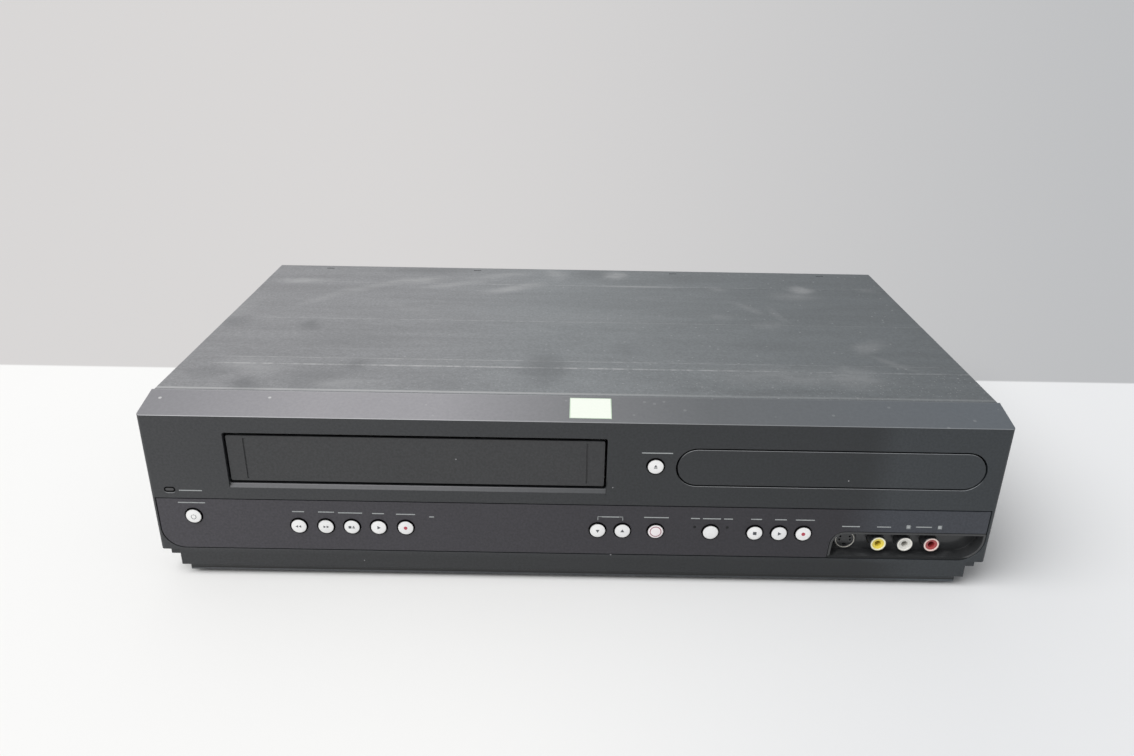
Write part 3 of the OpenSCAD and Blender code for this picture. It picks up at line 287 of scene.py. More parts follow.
def painted_light_across(tree, place, left, right):
    """A colour that changes evenly from the left end of the cabinet to the right end: painted light across
    the cabinet.
    """
    return blend(tree, across_cabinet(tree, place), left, right)


def mottled(tree, place, colour, scale, depth):
    """Makes a colour a little lighter and darker in small grains."""
    grain = between(tree, noise(tree, place, scale, 3, 0.6), 0.25, 0.75, 1 - depth, 1 + depth)
    return brightened(tree, colour, grain)


def chips(tree, place, scale, share, size):
    """Small sharp specks: the middles of a few random cells. A cell is 1 / scale metres wide."""
    cell = wire(tree, "TexVoronoi", {"Vector": place, "Scale": scale})
    draw = wire(tree, "SeparateColor", {0: cell.outputs["Color"]}).outputs[0]
    return times(tree, above(tree, draw, 1 - share), below(tree, cell.outputs["Distance"], size))


def moulded_plastic(name, left, right, roughness, grain=1.0, speckled=0.0, far=None):
    """Spark-textured moulding with painted light that changes it from left to right, fine mottle and a few
    pale specks.

    far is the colour that it turns to at its right end: painted light that makes the far right lighter."""
    finish, tree, shader, place = new_finish(name)
    # Painted light: the colour changes from the left end of the cabinet to the right end.
    colour = painted_light_across(tree, place, left, right)
    if far:
        # Painted light: the far right turns to the lighter far colour.
        colour = blend(tree, between(tree, axes_of(tree, place)["X"], *RIGHT_LIGHT_FROM), colour, far)
    colour = mottled(tree, place, colour, 800, 0.22)
    if speckled:
        colour = blend(tree, chips(tree, place, 100, speckled, 0.04), colour, PALE_CHIP)
    cloud = noise(tree, place, 19)
    set_link(tree, shader, Base_Color=colour,
        Roughness=between(tree, cloud, 0.3, 0.7, roughness - 0.04, roughness + 0.06))
    set_bump(tree, shader, noise(tree, place, SPARK_SCALE, 3, 0.6), SPARK_DEPTH, 0.35 * grain)
    return finish


def polished_plastic(name, colour, deep, roughness):
    """Smooth moulding with faint handling marks in its gloss."""
    finish, tree, shader, place = new_finish(name, Coat_Weight=0.4, Coat_Roughness=0.05)
    cloud = between(tree, noise(tree, place, 60, 4), 0.35, 0.7)
    marks = between(tree, noise(tree, stretched(tree, place, (1, 1, 6)), 240, 3), 0.55, 0.75)
    set_link(tree, shader, Base_Color=blend(tree, cloud, colour, deep),
        Roughness=between(tree, marks, 0, 1, roughness, roughness + 0.16))
    set_bump(tree, shader, noise(tree, place, 700, 2), 0.00001, 0.3)
    return finish


LIP_TOP = 18.65
LIP_DEEP = 0.4
LIP_BLACK = (0.028, 0.029, 0.030)
DUSTY_HEIGHT = (0.0185, 0.0225)


def dusty_gloss(name):
    """Shiny black moulding of the socket recess, dusty near its lower edge. Its lower lip is dull."""
    finish, tree, shader, place = new_finish(name, Coat_Roughness=0.1)
    axes = axes_of(tree, place)
    low = between(tree, axes["Z"], *DUSTY_HEIGHT, 0.5, 0.05)
    inside = above(tree, axes["Y"], (front_y + LIP_DEEP) * MM)
    shiny = most(tree, inside, above(tree, axes["Z"], LIP_TOP * MM))
    patches = between(tree, noise(tree, stretched(tree, place, (0.5, 1, 1)), 260, 4, 0.7), 0.45, 0.72)
    dust = times(tree, low, patches)
    colour = blend(tree, dust, (0.031, 0.0325, 0.034), (0.085, 0.088, 0.091))
    set_link(tree, shader, Base_Color=blend(tree, inside, LIP_BLACK, colour),
        Roughness=between(tree, dust, 0, 0.4, 0.28, 0.6), Coat_Weight=times(tree, shiny, 0.3),
        Specular_IOR_Level=times(tree, shiny, 0.5))
    return finish


def rubber(name, deep=(0.012, 0.012, 0.013), worn=(0.035, 0.035, 0.036), gloss=0.3):
    """Matt black with a cloudy, greyish haze. With a very deep colour it serves as painted shade for the
    inside of narrow gaps.
    """
    finish, tree, shader, place = new_finish(name, Specular_IOR_Level=gloss)
    cloud = noise(tree, place, 120, 4)
    set_link(tree, shader, Base_Color=blend(tree, cloud, deep, worn),
        Roughness=between(tree, cloud, 0.3, 0.7, 0.7, 0.9))
    set_bump(tree, shader, noise(tree, place, 1800), 0.00004, 0.5)
    return finish


# %% [markdown]
# ## The front moulding, its dusty slope and its painted light
# The front is matt black, but its slope and the edges of its openings look up at the lamp and carry a thin
# even layer of dust with painted light: lilac grey on the left, almost the bare plastic on the right. A
# colour ramp along X holds the layer's tones. The layer is brighter along two thin edges, at the joint with
# the cover
# and at the front: painted highlights, stronger on the left, with some dust at the joint. The lower rim of
# the drawer opening and a thin line at the back of the sill carry painted highlights too. The layer is
# thinner on the sill under the flap, as painted shade of the flap, and there is none lower down or behind the
# front wall, so the gaps stay black. The face is painted lighter on the left than on the right. The skirt
# below the panel is painted a shade darker, with a painted shadow line over its lower edge and painted light
# on the strip below it, and painted light makes the far right lighter.

# %% Front moulding
# Lengths are in mm. Pairs are ranges in metres, or tones at their ends.
# Tones of the dust with painted light, from the left end to the right end.
DUST_AND_LIGHT_TONES = ((0.0, (0.215, 0.212, 0.225)), (0.20, (0.292, 0.284, 0.30)),
    (0.34, (0.282, 0.276, 0.292)), (0.50, (0.172, 0.174, 0.182)), (0.66, (0.112, 0.118, 0.125)),
    (1.0, (0.092, 0.104, 0.118)))
FILM_DEPTH = 1.7
FILM_LOW = 50
SILL_BACK = 1.4
SLOPE_BACK = 21.3
SLOPE_LOW = 94
DRAWER_LEFT = 45
# The colour of the painted highlights along thin edges.
EDGE_GLINT = (0.75, 0.75, 0.77)
SKIRT_TOP = (0.0135, 0.017)
SKIRT_RIGHT = (0.15, 0.185)
SKIRT_PAINTED_LIGHT = (0.76, 1.9)
FACE_RIGHT = (0.145, 0.165)
FACE_PAINTED_LIGHT = (1.0, 1.95)
FOOT_LINE = 4.05
FOOT_HALF = 0.3
FOOT_LIGHT_GAIN = 1.5


def tone_ramp(tree, place, tones):
    """A colour ramp along the width of the cabinet."""
    ramp = wire(tree, "ValToRGB", {0: across_cabinet(tree, place)})
    stops = ramp.color_ramp.elements
    while len(stops) < len(tones):
        stops.new(0.5)
    for stop, (position, colour) in zip(stops, tones):
        stop.position = position
        stop.color = (*colour, 1)
    return ramp.outputs["Color"]


def band(tree, value, middle, half, soft):
    """1 within half of a middle value, falling to 0 over a soft distance. In millimetres."""
    away = maths(tree, "ABSOLUTE", maths(tree, "SUBTRACT", value, middle * MM))
    return between(tree, away, half * MM, (half + soft) * MM, 1.0, 0.0)


def dusty_moulding_with_painted_light(name, left, right):
    finish, tree, shader, place = new_finish(name)
    colour = mottled(tree, place, painted_light_across(tree, place, left, right), 800, 0.22)
    colour = blend(tree, chips(tree, place, 100, 0.12, 0.04), colour, PALE_CHIP)
    axes = axes_of(tree, place)
    # Painted shade darkens the skirt below the panel, and painted light lightens the far right of the skirt
    # and the face.
    skirt_shade_and_light = between(tree, axes["X"], *SKIRT_RIGHT, *SKIRT_PAINTED_LIGHT)
    face = between(tree, axes["X"], *FACE_RIGHT, *FACE_PAINTED_LIGHT)
    # Painted light brightens the strip below the foot line, and a painted shadow line runs along it.
    foot_painted_light = maths(tree, "MULTIPLY_ADD", below(tree, axes["Z"], (FOOT_LINE - FOOT_HALF) * MM), FOOT_LIGHT_GAIN, 1.0)
    painted_shadow_line = maths(tree, "MULTIPLY_ADD", band(tree, axes["Z"], FOOT_LINE, FOOT_HALF, 0.15), -0.9, 1.0)
    level = times(tree, between(tree, axes["Z"], *SKIRT_TOP, skirt_shade_and_light, face), foot_painted_light, painted_shadow_line)
    colour = brightened(tree, colour, level)
    depth = maths(tree, "SUBTRACT", axes["Y"], front_y * MM)
    # Dust with painted light: the layer's tones fall off from left to right.
    dust_and_light = mottled(tree, place, tone_ramp(tree, place, DUST_AND_LIGHT_TONES), 620, 0.05)
    on_slope = above(tree, axes["Z"], SLOPE_LOW * MM)
    leftwards = between(tree, axes["X"], -0.2, 0.12, 1.0, 0.35)
    # Painted highlights along the joint and the front edge, stronger on the left.
    joint = times(tree, band(tree, depth, SLOPE_BACK, 0.35, 0.4), 0.15)
    edge = times(tree, band(tree, depth, 0.1, 0.2, 0.2), 0.5, on_slope)
    glint = times(tree, most(tree, joint, edge), leftwards)
    # Painted highlight on the lower rim of the drawer opening.
    at_drawer = above(tree, axes["X"], DRAWER_LEFT * MM)
    rim = times(tree, at_drawer, maths(tree, "SUBTRACT", 1.0, on_slope))
    dust_and_light = blend(tree, maths(tree, "MULTIPLY_ADD", rim, 0.3, glint), dust_and_light, EDGE_GLINT)
    motes = times(tree, chips(tree, place, 200, 0.22, 0.17), between(tree, axes["X"], -0.14, -0.06, 0.7, 0.1))
    dust_and_light = blend(tree, motes, dust_and_light, (0.6, 0.6, 0.6))
    # Painted highlight along the back of the sill, and painted shade of the flap that thins the layer on the
    # sill under it; full at the drawer.
    sill_light_and_shade = maths(tree, "MULTIPLY_ADD", band(tree, depth, SILL_BACK, 0.1, 0.1), 0.35,
        maths(tree, "MULTIPLY_ADD", at_drawer, 0.58, 0.42))
    deepest = maths(tree, "MULTIPLY_ADD", at_drawer, (0.4 - FILM_DEPTH) * MM, FILM_DEPTH * MM)
    sill_light_and_shade = times(tree, sill_light_and_shade, below(tree, depth, deepest), above(tree, axes["Z"], FILM_LOW * MM))
    share = times(tree, upwards(tree, 0.25, 0.9), most(tree, on_slope, sill_light_and_shade))
    set_link(tree, shader, Base_Color=blend(tree, share, colour, dust_and_light),
        Roughness=between(tree, noise(tree, place, 19), 0.3, 0.7, 0.42, 0.5))
    set_bump(tree, shader, noise(tree, place, SPARK_SCALE, 3, 0.6), SPARK_DEPTH, 0.35)
    return finish


# %% Metals
def rolled_sheet(name, light, dark, roughness, scale=60, metal=1.0):
    """Bare or plated sheet: streaks along the rolling direction and a faint cloudiness."""
    finish, tree, shader, place = new_finish(name, Metallic=metal)
    streak = between(tree, noise(tree, stretched(tree, place, (1, 1, 40)), scale, 5, 0.6), 0.25, 0.75)
    cloud = between(tree, noise(tree, place, 35, 4), 0.3, 0.7)
    tone = maths(tree, "MULTIPLY_ADD", cloud, 0.3, times(tree, streak, 0.7))
    set_link(tree, shader, Base_Color=blend(tree, tone, light, dark),
        Roughness=between(tree, tone, 0, 1, roughness, roughness + 0.14))
    set_bump(tree, shader, streak, 0.00001, 0.25)
    return finish


def spangled_zinc(name):
    """Galvanised steel: small crystals that differ a little in tone."""
    finish, tree, shader, place = new_finish(name, Metallic=1.0)
    cell = wire(tree, "TexVoronoi", {"Vector": place, "Scale": 190, "Randomness": 1.0}).outputs["Color"]
    tone = wire(tree, "SeparateColor", {0: cell}).outputs["Red"]
    cloud = noise(tree, place, 30)
    mixed = maths(tree, "MULTIPLY_ADD", tone, 0.6, times(tree, cloud, 0.4))
    set_link(tree, shader, Base_Color=blend(tree, mixed, (0.44, 0.45, 0.46), (0.62, 0.63, 0.64)),
        Roughness=between(tree, mixed, 0, 1, 0.34, 0.52))
    set_bump(tree, shader, tone, 0.00001, 0.2)
    return finish


def turned_metal(name, light, dark, roughness, ring=900):
    """Ground or turned metal, with fine rings up its axis."""
    finish, tree, shader, place = new_finish(name, Metallic=1.0)
    fine = between(tree, noise(tree, stretched(tree, place, (0.05, 0.05, 1)), ring, 3, 0.6), 0.3, 0.7)
    set_link(tree, shader, Base_Color=blend(tree, fine, light, dark),
        Roughness=between(tree, fine, 0, 1, roughness, roughness + 0.08))
    set_bump(tree, shader, fine, 0.000004, 0.3)
    return finish


# %% [markdown]
# ## The dusty top cover
# The cover is semi-matt black paint that has stood in a room for years. Over it lies a layer of dust that
# thins out towards the right, together with painted light that falls off the same way, lines of dust and
# painted highlight along its folds and its hem, streaks where a cloth has wiped it, and clean dark prints
# where fingers have lifted it. The prints and wipes are placed one by one, as ellipses in the plane of the
# sheet with an outline that is bent by noise.

# %% Painted top cover
# Dust with painted light: the tones fall off from left to right.
COVER_TONES = ((0.0, (0.232, 0.232, 0.240)), (0.30, (0.222, 0.226, 0.234)), (0.47, (0.196, 0.207, 0.215)),
    (0.62, (0.160, 0.171, 0.178)), (0.78, (0.124, 0.135, 0.142)), (1.0, (0.098, 0.108, 0.115)))
PAINT = (0.075, 0.08, 0.085)
DUST = (0.40, 0.40, 0.405)
# Each fold: y in mm, and the strength of its line of dust and painted highlight.
FOLDS = ((56.6, 0.85), (66.4, 0.55), (130.9, 0.62), (204.4, 0.40))
# The hem of the cover lies behind the joint, and a painted highlight runs along it where its edge catches the
# light.
HEM_MIDDLE = 23.45
HEM_HALF = 0.9
# Each wipe, line or print: x, y, half length, half width in mm, turn in degrees, and its strength.
WIPES = ((-190, 206, 19, 6, 2, 0.55), (-166, 171, 24, 6, 46, 0.26), (-140, 194, 22, 7, 38, 0.34),
    (-112, 210, 22, 8, 14, 0.50), (-85, 203, 30, 4.5, 20, 0.36), (-42, 197, 22, 6, 28, 0.50),
    (-52, 224, 22, 6, 22, 0.34), (-14, 228, 6, 13, 0, 0.36), (28, 229, 10, 9, 0, 0.50),
    (156, 202, 8, 9, -30, 0.42), (149, 189, 15, 9, 0, 0.16), (97, 203, 7, 5, 0, 0.14),
    (205, 203, 10, 5, 0, 0.14), (112, 163, 16, 4, -52, 0.16), (121, 131, 10, 8, 0, 0.14),
    (131, 150, 4, 16, 12, 0.12), (94, 144, 8, 6, 0, 0.12), (170, 95, 14, 6, 50, 0.18),
    (178, 70, 15, 3.5, -45, 0.16), (118, 50, 46, 13, -2, 0.17), (150, 50, 13, 14, -50, 0.24),
    (-172, 53, 20, 11, -20, 0.32), (-126, 32, 17, 6, 0, 0.30), (-8, 135, 70, 10, 0, 0.06),
    (-60, 62, 60, 6, 0, 0.10), (-110, 150, 20, 6, -30, 0.14), (-212, 150, 8, 20, 0, 0.20))
# The lines lie along two folds and strengthen the dust and painted highlight there.
LINES = ((42, 204.4, 33, 1.6, 0, 0.34), (-188, 204.4, 16, 1.6, 0, 0.3), (-120, 66.4, 90, 1.2, 0, 0.2))
PRINTS = ((-18, 57, 12, 25, 0, 0.42), (-163, 119, 8, 9, 0, 0.42), (-206, 122, 10, 11, 0, 0.30),
    (-173, 31, 10, 10, 0, 0.45), (-123, 56, 8, 9, 0, 0.30), (-198, 44, 12, 10, 0, 0.20),
    (-135, 95, 30, 12, 0, 0.14), (30, 86, 11, 12, 0, 0.20), (52, 93, 26, 11, 0, 0.12),
    (112, 94, 26, 9, 0, 0.16), (9, 231, 13, 13, 0, 0.32), (-104, 233, 28, 10, 0, 0.26),
    (76, 226, 14, 8, 0, 0.20), (-76, 40, 24, 13, 0, 0.12), (108, 29, 44, 5, 0, 0.30),
    (-141, 37, 14, 12, 30, 0.22), (60, 30, 16, 5, 0, 0.18), (20, 175, 60, 20, 0, 0.07))


def vector_maths(tree, operation, *inputs):
    return wire(tree, "VectorMath", dict(enumerate(inputs)), operation=operation).outputs[0]


def marked(tree, place, marks):
    """The strongest of a few soft ellipses in the plane of the sheet."""
    total = None
    for x, y, half_length, half_width, turn, strength in marks:
        away = vector_maths(tree, "SUBTRACT", place, (x * MM, (y + front_y) * MM, 0))
        turned_place = wire(tree, "VectorRotate", {"Vector": away, "Angle": -math.radians(turn)},
            rotation_type="Z_AXIS").outputs[0]
        sizes = (1 / (half_length * MM), 1 / (half_width * MM), 0)
        scaled = vector_maths(tree, "MULTIPLY", turned_place, sizes)
        radius = wire(tree, "VectorMath", {0: scaled}, operation="LENGTH").outputs["Value"]
        mark = between(tree, radius, 0.1, 1.5, strength, 0.0)
        total = mark if total is None else most(tree, total, mark)
    return total


def dusty_paint_with_painted_light(name):
    """Semi-matt black paint under a layer of dust with painted light that falls off to the right, with dust
    and painted highlights along the folds and hem, wipes, finger prints and specks.
    """
    finish, tree, shader, place = new_finish(name)
    axes = axes_of(tree, place)
    depth = maths(tree, "SUBTRACT", axes["Y"], front_y * MM)
    leftwards = times(tree, between(tree, axes["X"], -0.1, 0.2, 1.0, 0.22),
        between(tree, axes["X"], -0.204, -0.192))
    wander = wire(tree, "TexNoise", {"Vector": place, "Scale": 26, "Detail": 4, "Roughness": 0.65})
    shift = vector_maths(tree, "SUBTRACT", wander.outputs["Color"], (0.5, 0.5, 0.5))
    bent = vector_maths(tree, "MULTIPLY_ADD", shift, (0.030, 0.016, 0), place)
    streak_place = stretched(tree, place, (2.2, 16, 1), (0, 0, math.radians(-9)))
    streaks = between(tree, noise(tree, streak_place, 4.0, 5, 0.62, 0.9), 0.3, 0.7, 0.93, 1.06)
    # Dust with painted light: lighter on the left, where the lamp is, and falling off to the right.
    dust_and_light = brightened(tree, mottled(tree, place, tone_ramp(tree, place, COVER_TONES), 700, 0.13), streaks)
    ragged = between(tree, noise(tree, stretched(tree, bent, (5, 30, 1)), 9, 4, 0.7), 0.3, 0.65, 0.45, 1.0)
    light = most(tree, times(tree, marked(tree, bent, WIPES), ragged), marked(tree, place, LINES))
    # Dust and painted highlights along the folds, stronger on the left.
    folds = 0.0
    for fold_y, strength in FOLDS:
        folds = maths(tree, "MULTIPLY_ADD", band(tree, depth, fold_y, 0.25, 0.6), strength, folds)
    broken = noise(tree, stretched(tree, place, (1, 0.1, 1)), 110, 5, 0.75)
    folds = times(tree, folds, between(tree, broken, 0.38, 0.62, 0.2, 1.0), leftwards)
    near_front = between(tree, depth, 0.052, 0.064, 0.34, 0.06)
    motes = most(tree, times(tree, chips(tree, place, 240, 0.16, 0.16), 0.32),
        times(tree, chips(tree, place, 620, 0.35, 0.22), near_front))
    # Painted highlight along the hem, stronger on the left.
    hem = times(tree, band(tree, depth, HEM_MIDDLE, HEM_HALF, 0.25),
        between(tree, axes["X"], -0.08, 0.09, 0.8, 0.15))
    light = most(tree, light, most(tree, folds, hem))
    dust_and_light = blend(tree, most(tree, light, motes), dust_and_light, DUST)
    share = maths(tree, "SUBTRACT", 1.0, marked(tree, bent, PRINTS))
    share = times(tree, share, upwards(tree, 0.15, 0.8))
    paint = mottled(tree, place, PAINT, 1100, 0.2)
    set_link(tree, shader, Base_Color=blend(tree, share, paint, dust_and_light),
        Roughness=between(tree, share, 0.4, 1.0, 0.42, 0.6))
    set_bump(tree, shader, noise(tree, place, 1500, 3, 0.6), 0.00002, 0.4)
    return finish


# %% Circuit boards
def circuit_board(name, axis, mask_from, mask_to):
    """Green solder mask between two levels along an axis, and dark components on both sides of it."""
    finish, tree, shader, place = new_finish(name)
    level = axes_of(tree, place)[axis]
    on_board = times(tree, above(tree, level, mask_from), below(tree, level, mask_to))
    tracks = wire(tree, "TexBrick", {"Vector": place, "Scale": 90, "Mortar Size": 0.03,
        "Color1": (0.02, 0.11, 0.05, 1), "Color2": (0.025, 0.14, 0.06, 1),
        "Mortar": (0.06, 0.22, 0.11, 1)}).outputs["Color"]
    part = blend(tree, between(tree, noise(tree, place, 70, 2), 0.4, 0.6),
        (0.02, 0.02, 0.022), (0.05, 0.05, 0.055))
    set_link(tree, shader, Base_Color=blend(tree, on_board, part, tracks),
        Roughness=between(tree, on_board, 0, 1, 0.5, 0.28))
    return finish


def taped_winding(name):
    """Ferrite core in dark grey with yellow tape round the winding."""
    finish, tree, shader, place = new_finish(name, Roughness=0.45)
    low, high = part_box("transformer")
    height = axes_of(tree, place)["Z"]
    wound = times(tree, above(tree, height, low.z + 5 * MM), below(tree, height, high.z - 5 * MM))
    lay = wire(tree, "TexWave", {"Vector": place, "Scale": 260, "Distortion": 1.5},
        bands_direction="Z").outputs["Fac"]
    tape = blend(tree, lay, (0.62, 0.42, 0.08), (0.5, 0.32, 0.05))
    ferrite = blend(tree, noise(tree, place, 400), (0.03, 0.03, 0.032), (0.07, 0.068, 0.066))
    set_link(tree, shader, Base_Color=blend(tree, wound, ferrite, tape))
    return finish


# %% One finish for each material slot of the frame
# The face is painted lighter on the left than on the right: painted light from the lamp on the left.
FACE_BLACKS = (0.034, 0.0355, 0.0385), (0.011, 0.0135, 0.0155)
MATT_BLACK = (0.022, 0.022, 0.023)
BOARD_T = 1.7
board_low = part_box("main_board")[0].z
upright_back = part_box("front_board")[1].y
FINISHES = {
    "painted_cover": dusty_paint_with_painted_light("dusty_paint_with_painted_light"),
    "plated_steel": spangled_zinc("spangled_zinc"),
    "cabinet_plastic": dusty_moulding_with_painted_light("cabinet_plastic", *FACE_BLACKS),
    "panel_plastic": moulded_plastic("panel_plastic", (0.045, 0.0425, 0.051), (0.0125, 0.0115, 0.0155), 0.44,
        0.5, far=(0.034, 0.038, 0.048)),
    "door_plastic": moulded_plastic("door_plastic", (0.034, 0.035, 0.037), (0.024, 0.0245, 0.0265), 0.45,
        speckled=0.12),
    "gloss_black": dusty_gloss("gloss_black"),
    "spring_steel": rolled_sheet("bright_sheet", (0.66, 0.66, 0.66), (0.5, 0.5, 0.51), 0.24),
    "pearl_button": polished_plastic("pearl_white", (0.855, 0.85, 0.845), (0.79, 0.79, 0.79), 0.26),
    "pink_button": polished_plastic("pearl_pink", (0.87, 0.835, 0.84), (0.84, 0.79, 0.80), 0.26),
    "lamp_clear": polished_plastic("smoked_lens", (0.03, 0.03, 0.032), (0.05, 0.05, 0.052), 0.3),
    "yellow_socket": polished_plastic("yellow_lining", (0.80, 0.64, 0.07), (0.72, 0.54, 0.05), 0.3),
    "white_socket": polished_plastic("white_lining", (0.66, 0.645, 0.60), (0.58, 0.565, 0.52), 0.3),
    "red_socket": polished_plastic("red_lining", (0.36, 0.04, 0.042), (0.29, 0.026, 0.03), 0.3),
    "rubber": rubber("black_rubber"),
    "black_screw": rolled_sheet("blackened_screw", (0.05, 0.05, 0.052), (0.028, 0.028, 0.03), 0.34,
        scale=400),
    "black_moulding": moulded_plastic("black_moulding", MATT_BLACK, (0.016, 0.016, 0.017), 0.5),
    "circuit_board": circuit_board("board_flat", "Z", board_low - MM, board_low + BOARD_T * MM),
    "transformer_wrap": taped_winding("taped_winding"),
    "aluminium": rolled_sheet("cast_aluminium", (0.70, 0.71, 0.72), (0.56, 0.57, 0.58), 0.3),
    "drum_alloy": turned_metal("turned_alloy", (0.76, 0.77, 0.78), (0.62, 0.63, 0.64), 0.14, 2500),
    "polished_steel": turned_metal("ground_steel", (0.74, 0.74, 0.74), (0.6, 0.6, 0.61), 0.12),
    "white_moulding": moulded_plastic("white_acetal", (0.72, 0.72, 0.69), (0.74, 0.74, 0.71), 0.4, 0.6),
    "shadow_black": rubber("shadow_black", (0.003, 0.003, 0.0033), (0.006, 0.006, 0.0064), 0.1),
    "grey_moulding": moulded_plastic("grey_moulding", (0.066, 0.068, 0.071), (0.062, 0.064, 0.067), 0.45),
    "socket_white": moulded_plastic("socket_black", MATT_BLACK, MATT_BLACK, 0.4),
    "nickel": rolled_sheet("nickel_plate", (0.80, 0.78, 0.72), (0.68, 0.66, 0.60), 0.3, scale=120,
        metal=0.45),
}
OWN_FINISHES = {
    "front_board": circuit_board("board_upright", "Y", upright_back - BOARD_T * MM, upright_back + MM),
    "tray_front": dusty_moulding_with_painted_light("drawer_front", *FACE_BLACKS),
    "source_lamps": rubber("unlit_lamp", (0.014, 0.0145, 0.015), (0.02, 0.0205, 0.021)),
}
SLOT_OF = {part["node"]: part["material_slot"] for part in frame["record"]["subparts"]}
for node, slot in SLOT_OF.items():
    materials = frame["nodes"][node].data.materials
    materials.clear()
    materials.append(OWN_FINISHES.get(node, FINISHES[slot]))
print("finishes made:", len(FINISHES) + len(OWN_FINISHES))


# %% [markdown]
# ## Soft edges
# No real edge is perfectly sharp, and the thin highlight along an edge is what makes a solid look moulded or
# folded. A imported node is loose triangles, so we leave it alone and work on a copy: merge its corners,
# dissolve the slivers of each flat face and fill it again with good triangles, and let a Bevel modifier
# round every edge that turns by more than 35 degrees. A Weighted Normal modifier then lets the large flat
# faces rule the shading, so that they stay flat right up to the rounded edge. The bevel's loop slide is off,
# because beside a screw hole it folds thin faces over.

# %% Softened copies of the nodes
SOFT_EDGE = {"front_bezel": 0.18, "control_panel": 0.08, "cassette_door": 0.12, "tray_front": 0.2,
    "jack_bay": 0.12, "top_cover": 0.18, "chassis_base": 0.15, "rear_panel": 0.2, "feet": 0.3,
    "cord_gland": 0.3, "fan_frame": 0.3, "disc_tray": 0.15, "power_lamp_lens": 0.1, "s_video_socket": 0.12,
    "rear_phono_sockets": 0.2, "rear_data_sockets": 0.15, "tuner": 0.2, "case_screws": 0.15}
BUTTON_EDGE = 0.3
SIGN_ROOM = 0.03
INNER_EDGE = 0.15
LEFT_SHARP = ("door_spring", "source_lamps")
# The corners of the cassette opening have a step of 0.02 mm, which is closed before the bevel.
WELD = {"front_bezel": 0.03}


def deselect():
    bpy.ops.object.select_all(action="DESELECT")


def select_only(piece):
    deselect()
    piece.select_set(True)
    bpy.context.view_layer.objects.active = piece


def edit_all():
    """Enters edit mode with everything selected."""
    bpy.ops.object.mode_set(mode="EDIT")
    bpy.ops.mesh.select_all(action="SELECT")


def edit_where(piece, kind, test):
    """Enters edit mode with only those corners, edges or faces selected that pass a test."""
    select_only(piece)
    edit_all()
    bpy.ops.mesh.select_mode(type=kind)
    bpy.ops.mesh.select_all(action="DESELECT")
    bpy.ops.object.mode_set(mode="OBJECT")
    for element in getattr(piece.data, {"VERT": "vertices", "EDGE": "edges", "FACE": "polygons"}[kind]):
        element.select = test(element)
    bpy.ops.object.mode_set(mode="EDIT")


def close_edit():
    """Turns all faces outwards and leaves edit mode."""
    bpy.ops.mesh.select_all(action="SELECT")
    bpy.ops.mesh.normals_make_consistent(inside=False)
    bpy.ops.object.mode_set(mode="OBJECT")


def finish_edges(piece, width, segments=3):
    """Rounds the sharp edges of a piece and smooths what is nearly flat."""
    select_only(piece)
    bevel = piece.modifiers.new("soft_edge", "BEVEL")
    bevel.width = width * MM
    bevel.segments = segments
    bevel.limit_method = "ANGLE"
    bevel.angle_limit = math.radians(35)
    bevel.use_clamp_overlap = False
    bevel.loop_slide = False
    bevel.face_strength_mode = "FSTR_ALL"
    bpy.ops.object.modifier_apply(modifier=bevel.name)
    bpy.ops.object.shade_smooth_by_angle(angle=math.radians(32))
    weighted = piece.modifiers.new("flat_faces", "WEIGHTED_NORMAL")
    weighted.keep_sharp = True
    weighted.use_face_influence = True
    bpy.ops.object.modifier_apply(modifier=weighted.name)


def softened(node, width, segments=3):
    source = frame["nodes"][node]
    piece = bpy.data.objects.new(node + "_form", source.data.copy())
    scene.collection.objects.link(piece)
    select_only(piece)
    bpy.ops.mesh.customdata_custom_splitnormals_clear()
    edit_where(piece, "VERT", lambda corner: True)
    bpy.ops.mesh.remove_doubles(threshold=WELD.get(node, 0.001) * MM)
    bpy.ops.mesh.dissolve_limited(angle_limit=math.radians(0.5))
    bpy.ops.mesh.quads_convert_to_tris()
    bpy.ops.object.mode_set(mode="OBJECT")
    finish_edges(piece, width, segments)
    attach(piece, source["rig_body"])
    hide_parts(node)
    return piece


forms = {}
for node in frame["nodes"]:
    if node in LEFT_SHARP:
        continue
    if node.endswith("_button"):
        forms[node] = softened(node, BUTTON_EDGE, 4)
        edit_all()
        bpy.ops.transform.translate(value=(0, SIGN_ROOM * MM, 0))
        bpy.ops.object.mode_set(mode="OBJECT")
    else:
        forms[node] = softened(node, SOFT_EDGE.get(node, INNER_EDGE))
print("softened copies:", len(forms))


# %% [markdown]
# ## Printed marks
# The panel carries thin printed bars over its controls, and each button a small printed sign. Print has
# almost no thickness, but a flat sheet exactly on a surface would flicker with it. So each mark is a thin
# plate, made from a circle of 3, 4 or many corners, drawn out backwards so that its back is buried. The
# printed part stands 0.03 mm proud, and the softened buttons are pressed back by as much to make room.

# %% Inks
def printed_ink(name, colour, worn):
    """Screen print: even, with thin spots where the ink is worn."""
    finish, tree, shader, place = new_finish(name)
    thin = between(tree, noise(tree, place, 1600, 4, 0.6), 0.45, 0.75)
    set_link(tree, shader, Base_Color=blend(tree, thin, colour, worn),
        Roughness=between(tree, thin, 0, 1, 0.5, 0.7))
    return finish


INKS = {"pale": printed_ink("pale_ink", (0.36, 0.38, 0.38), (0.24, 0.25, 0.26)),
    "grey": printed_ink("grey_ink", (0.06, 0.065, 0.075), (0.09, 0.095, 0.105)),
    "red": printed_ink("red_ink", (0.42, 0.045, 0.075), (0.50, 0.09, 0.12)),
    "rose": printed_ink("rose_ink", (0.31, 0.125, 0.15), (0.37, 0.17, 0.20))}


# %% Stamp helper
def at(x, y, z):
    """A point in millimetres, with y measured back from the front face."""
    return Vector((x, y + front_y, z)) * MM


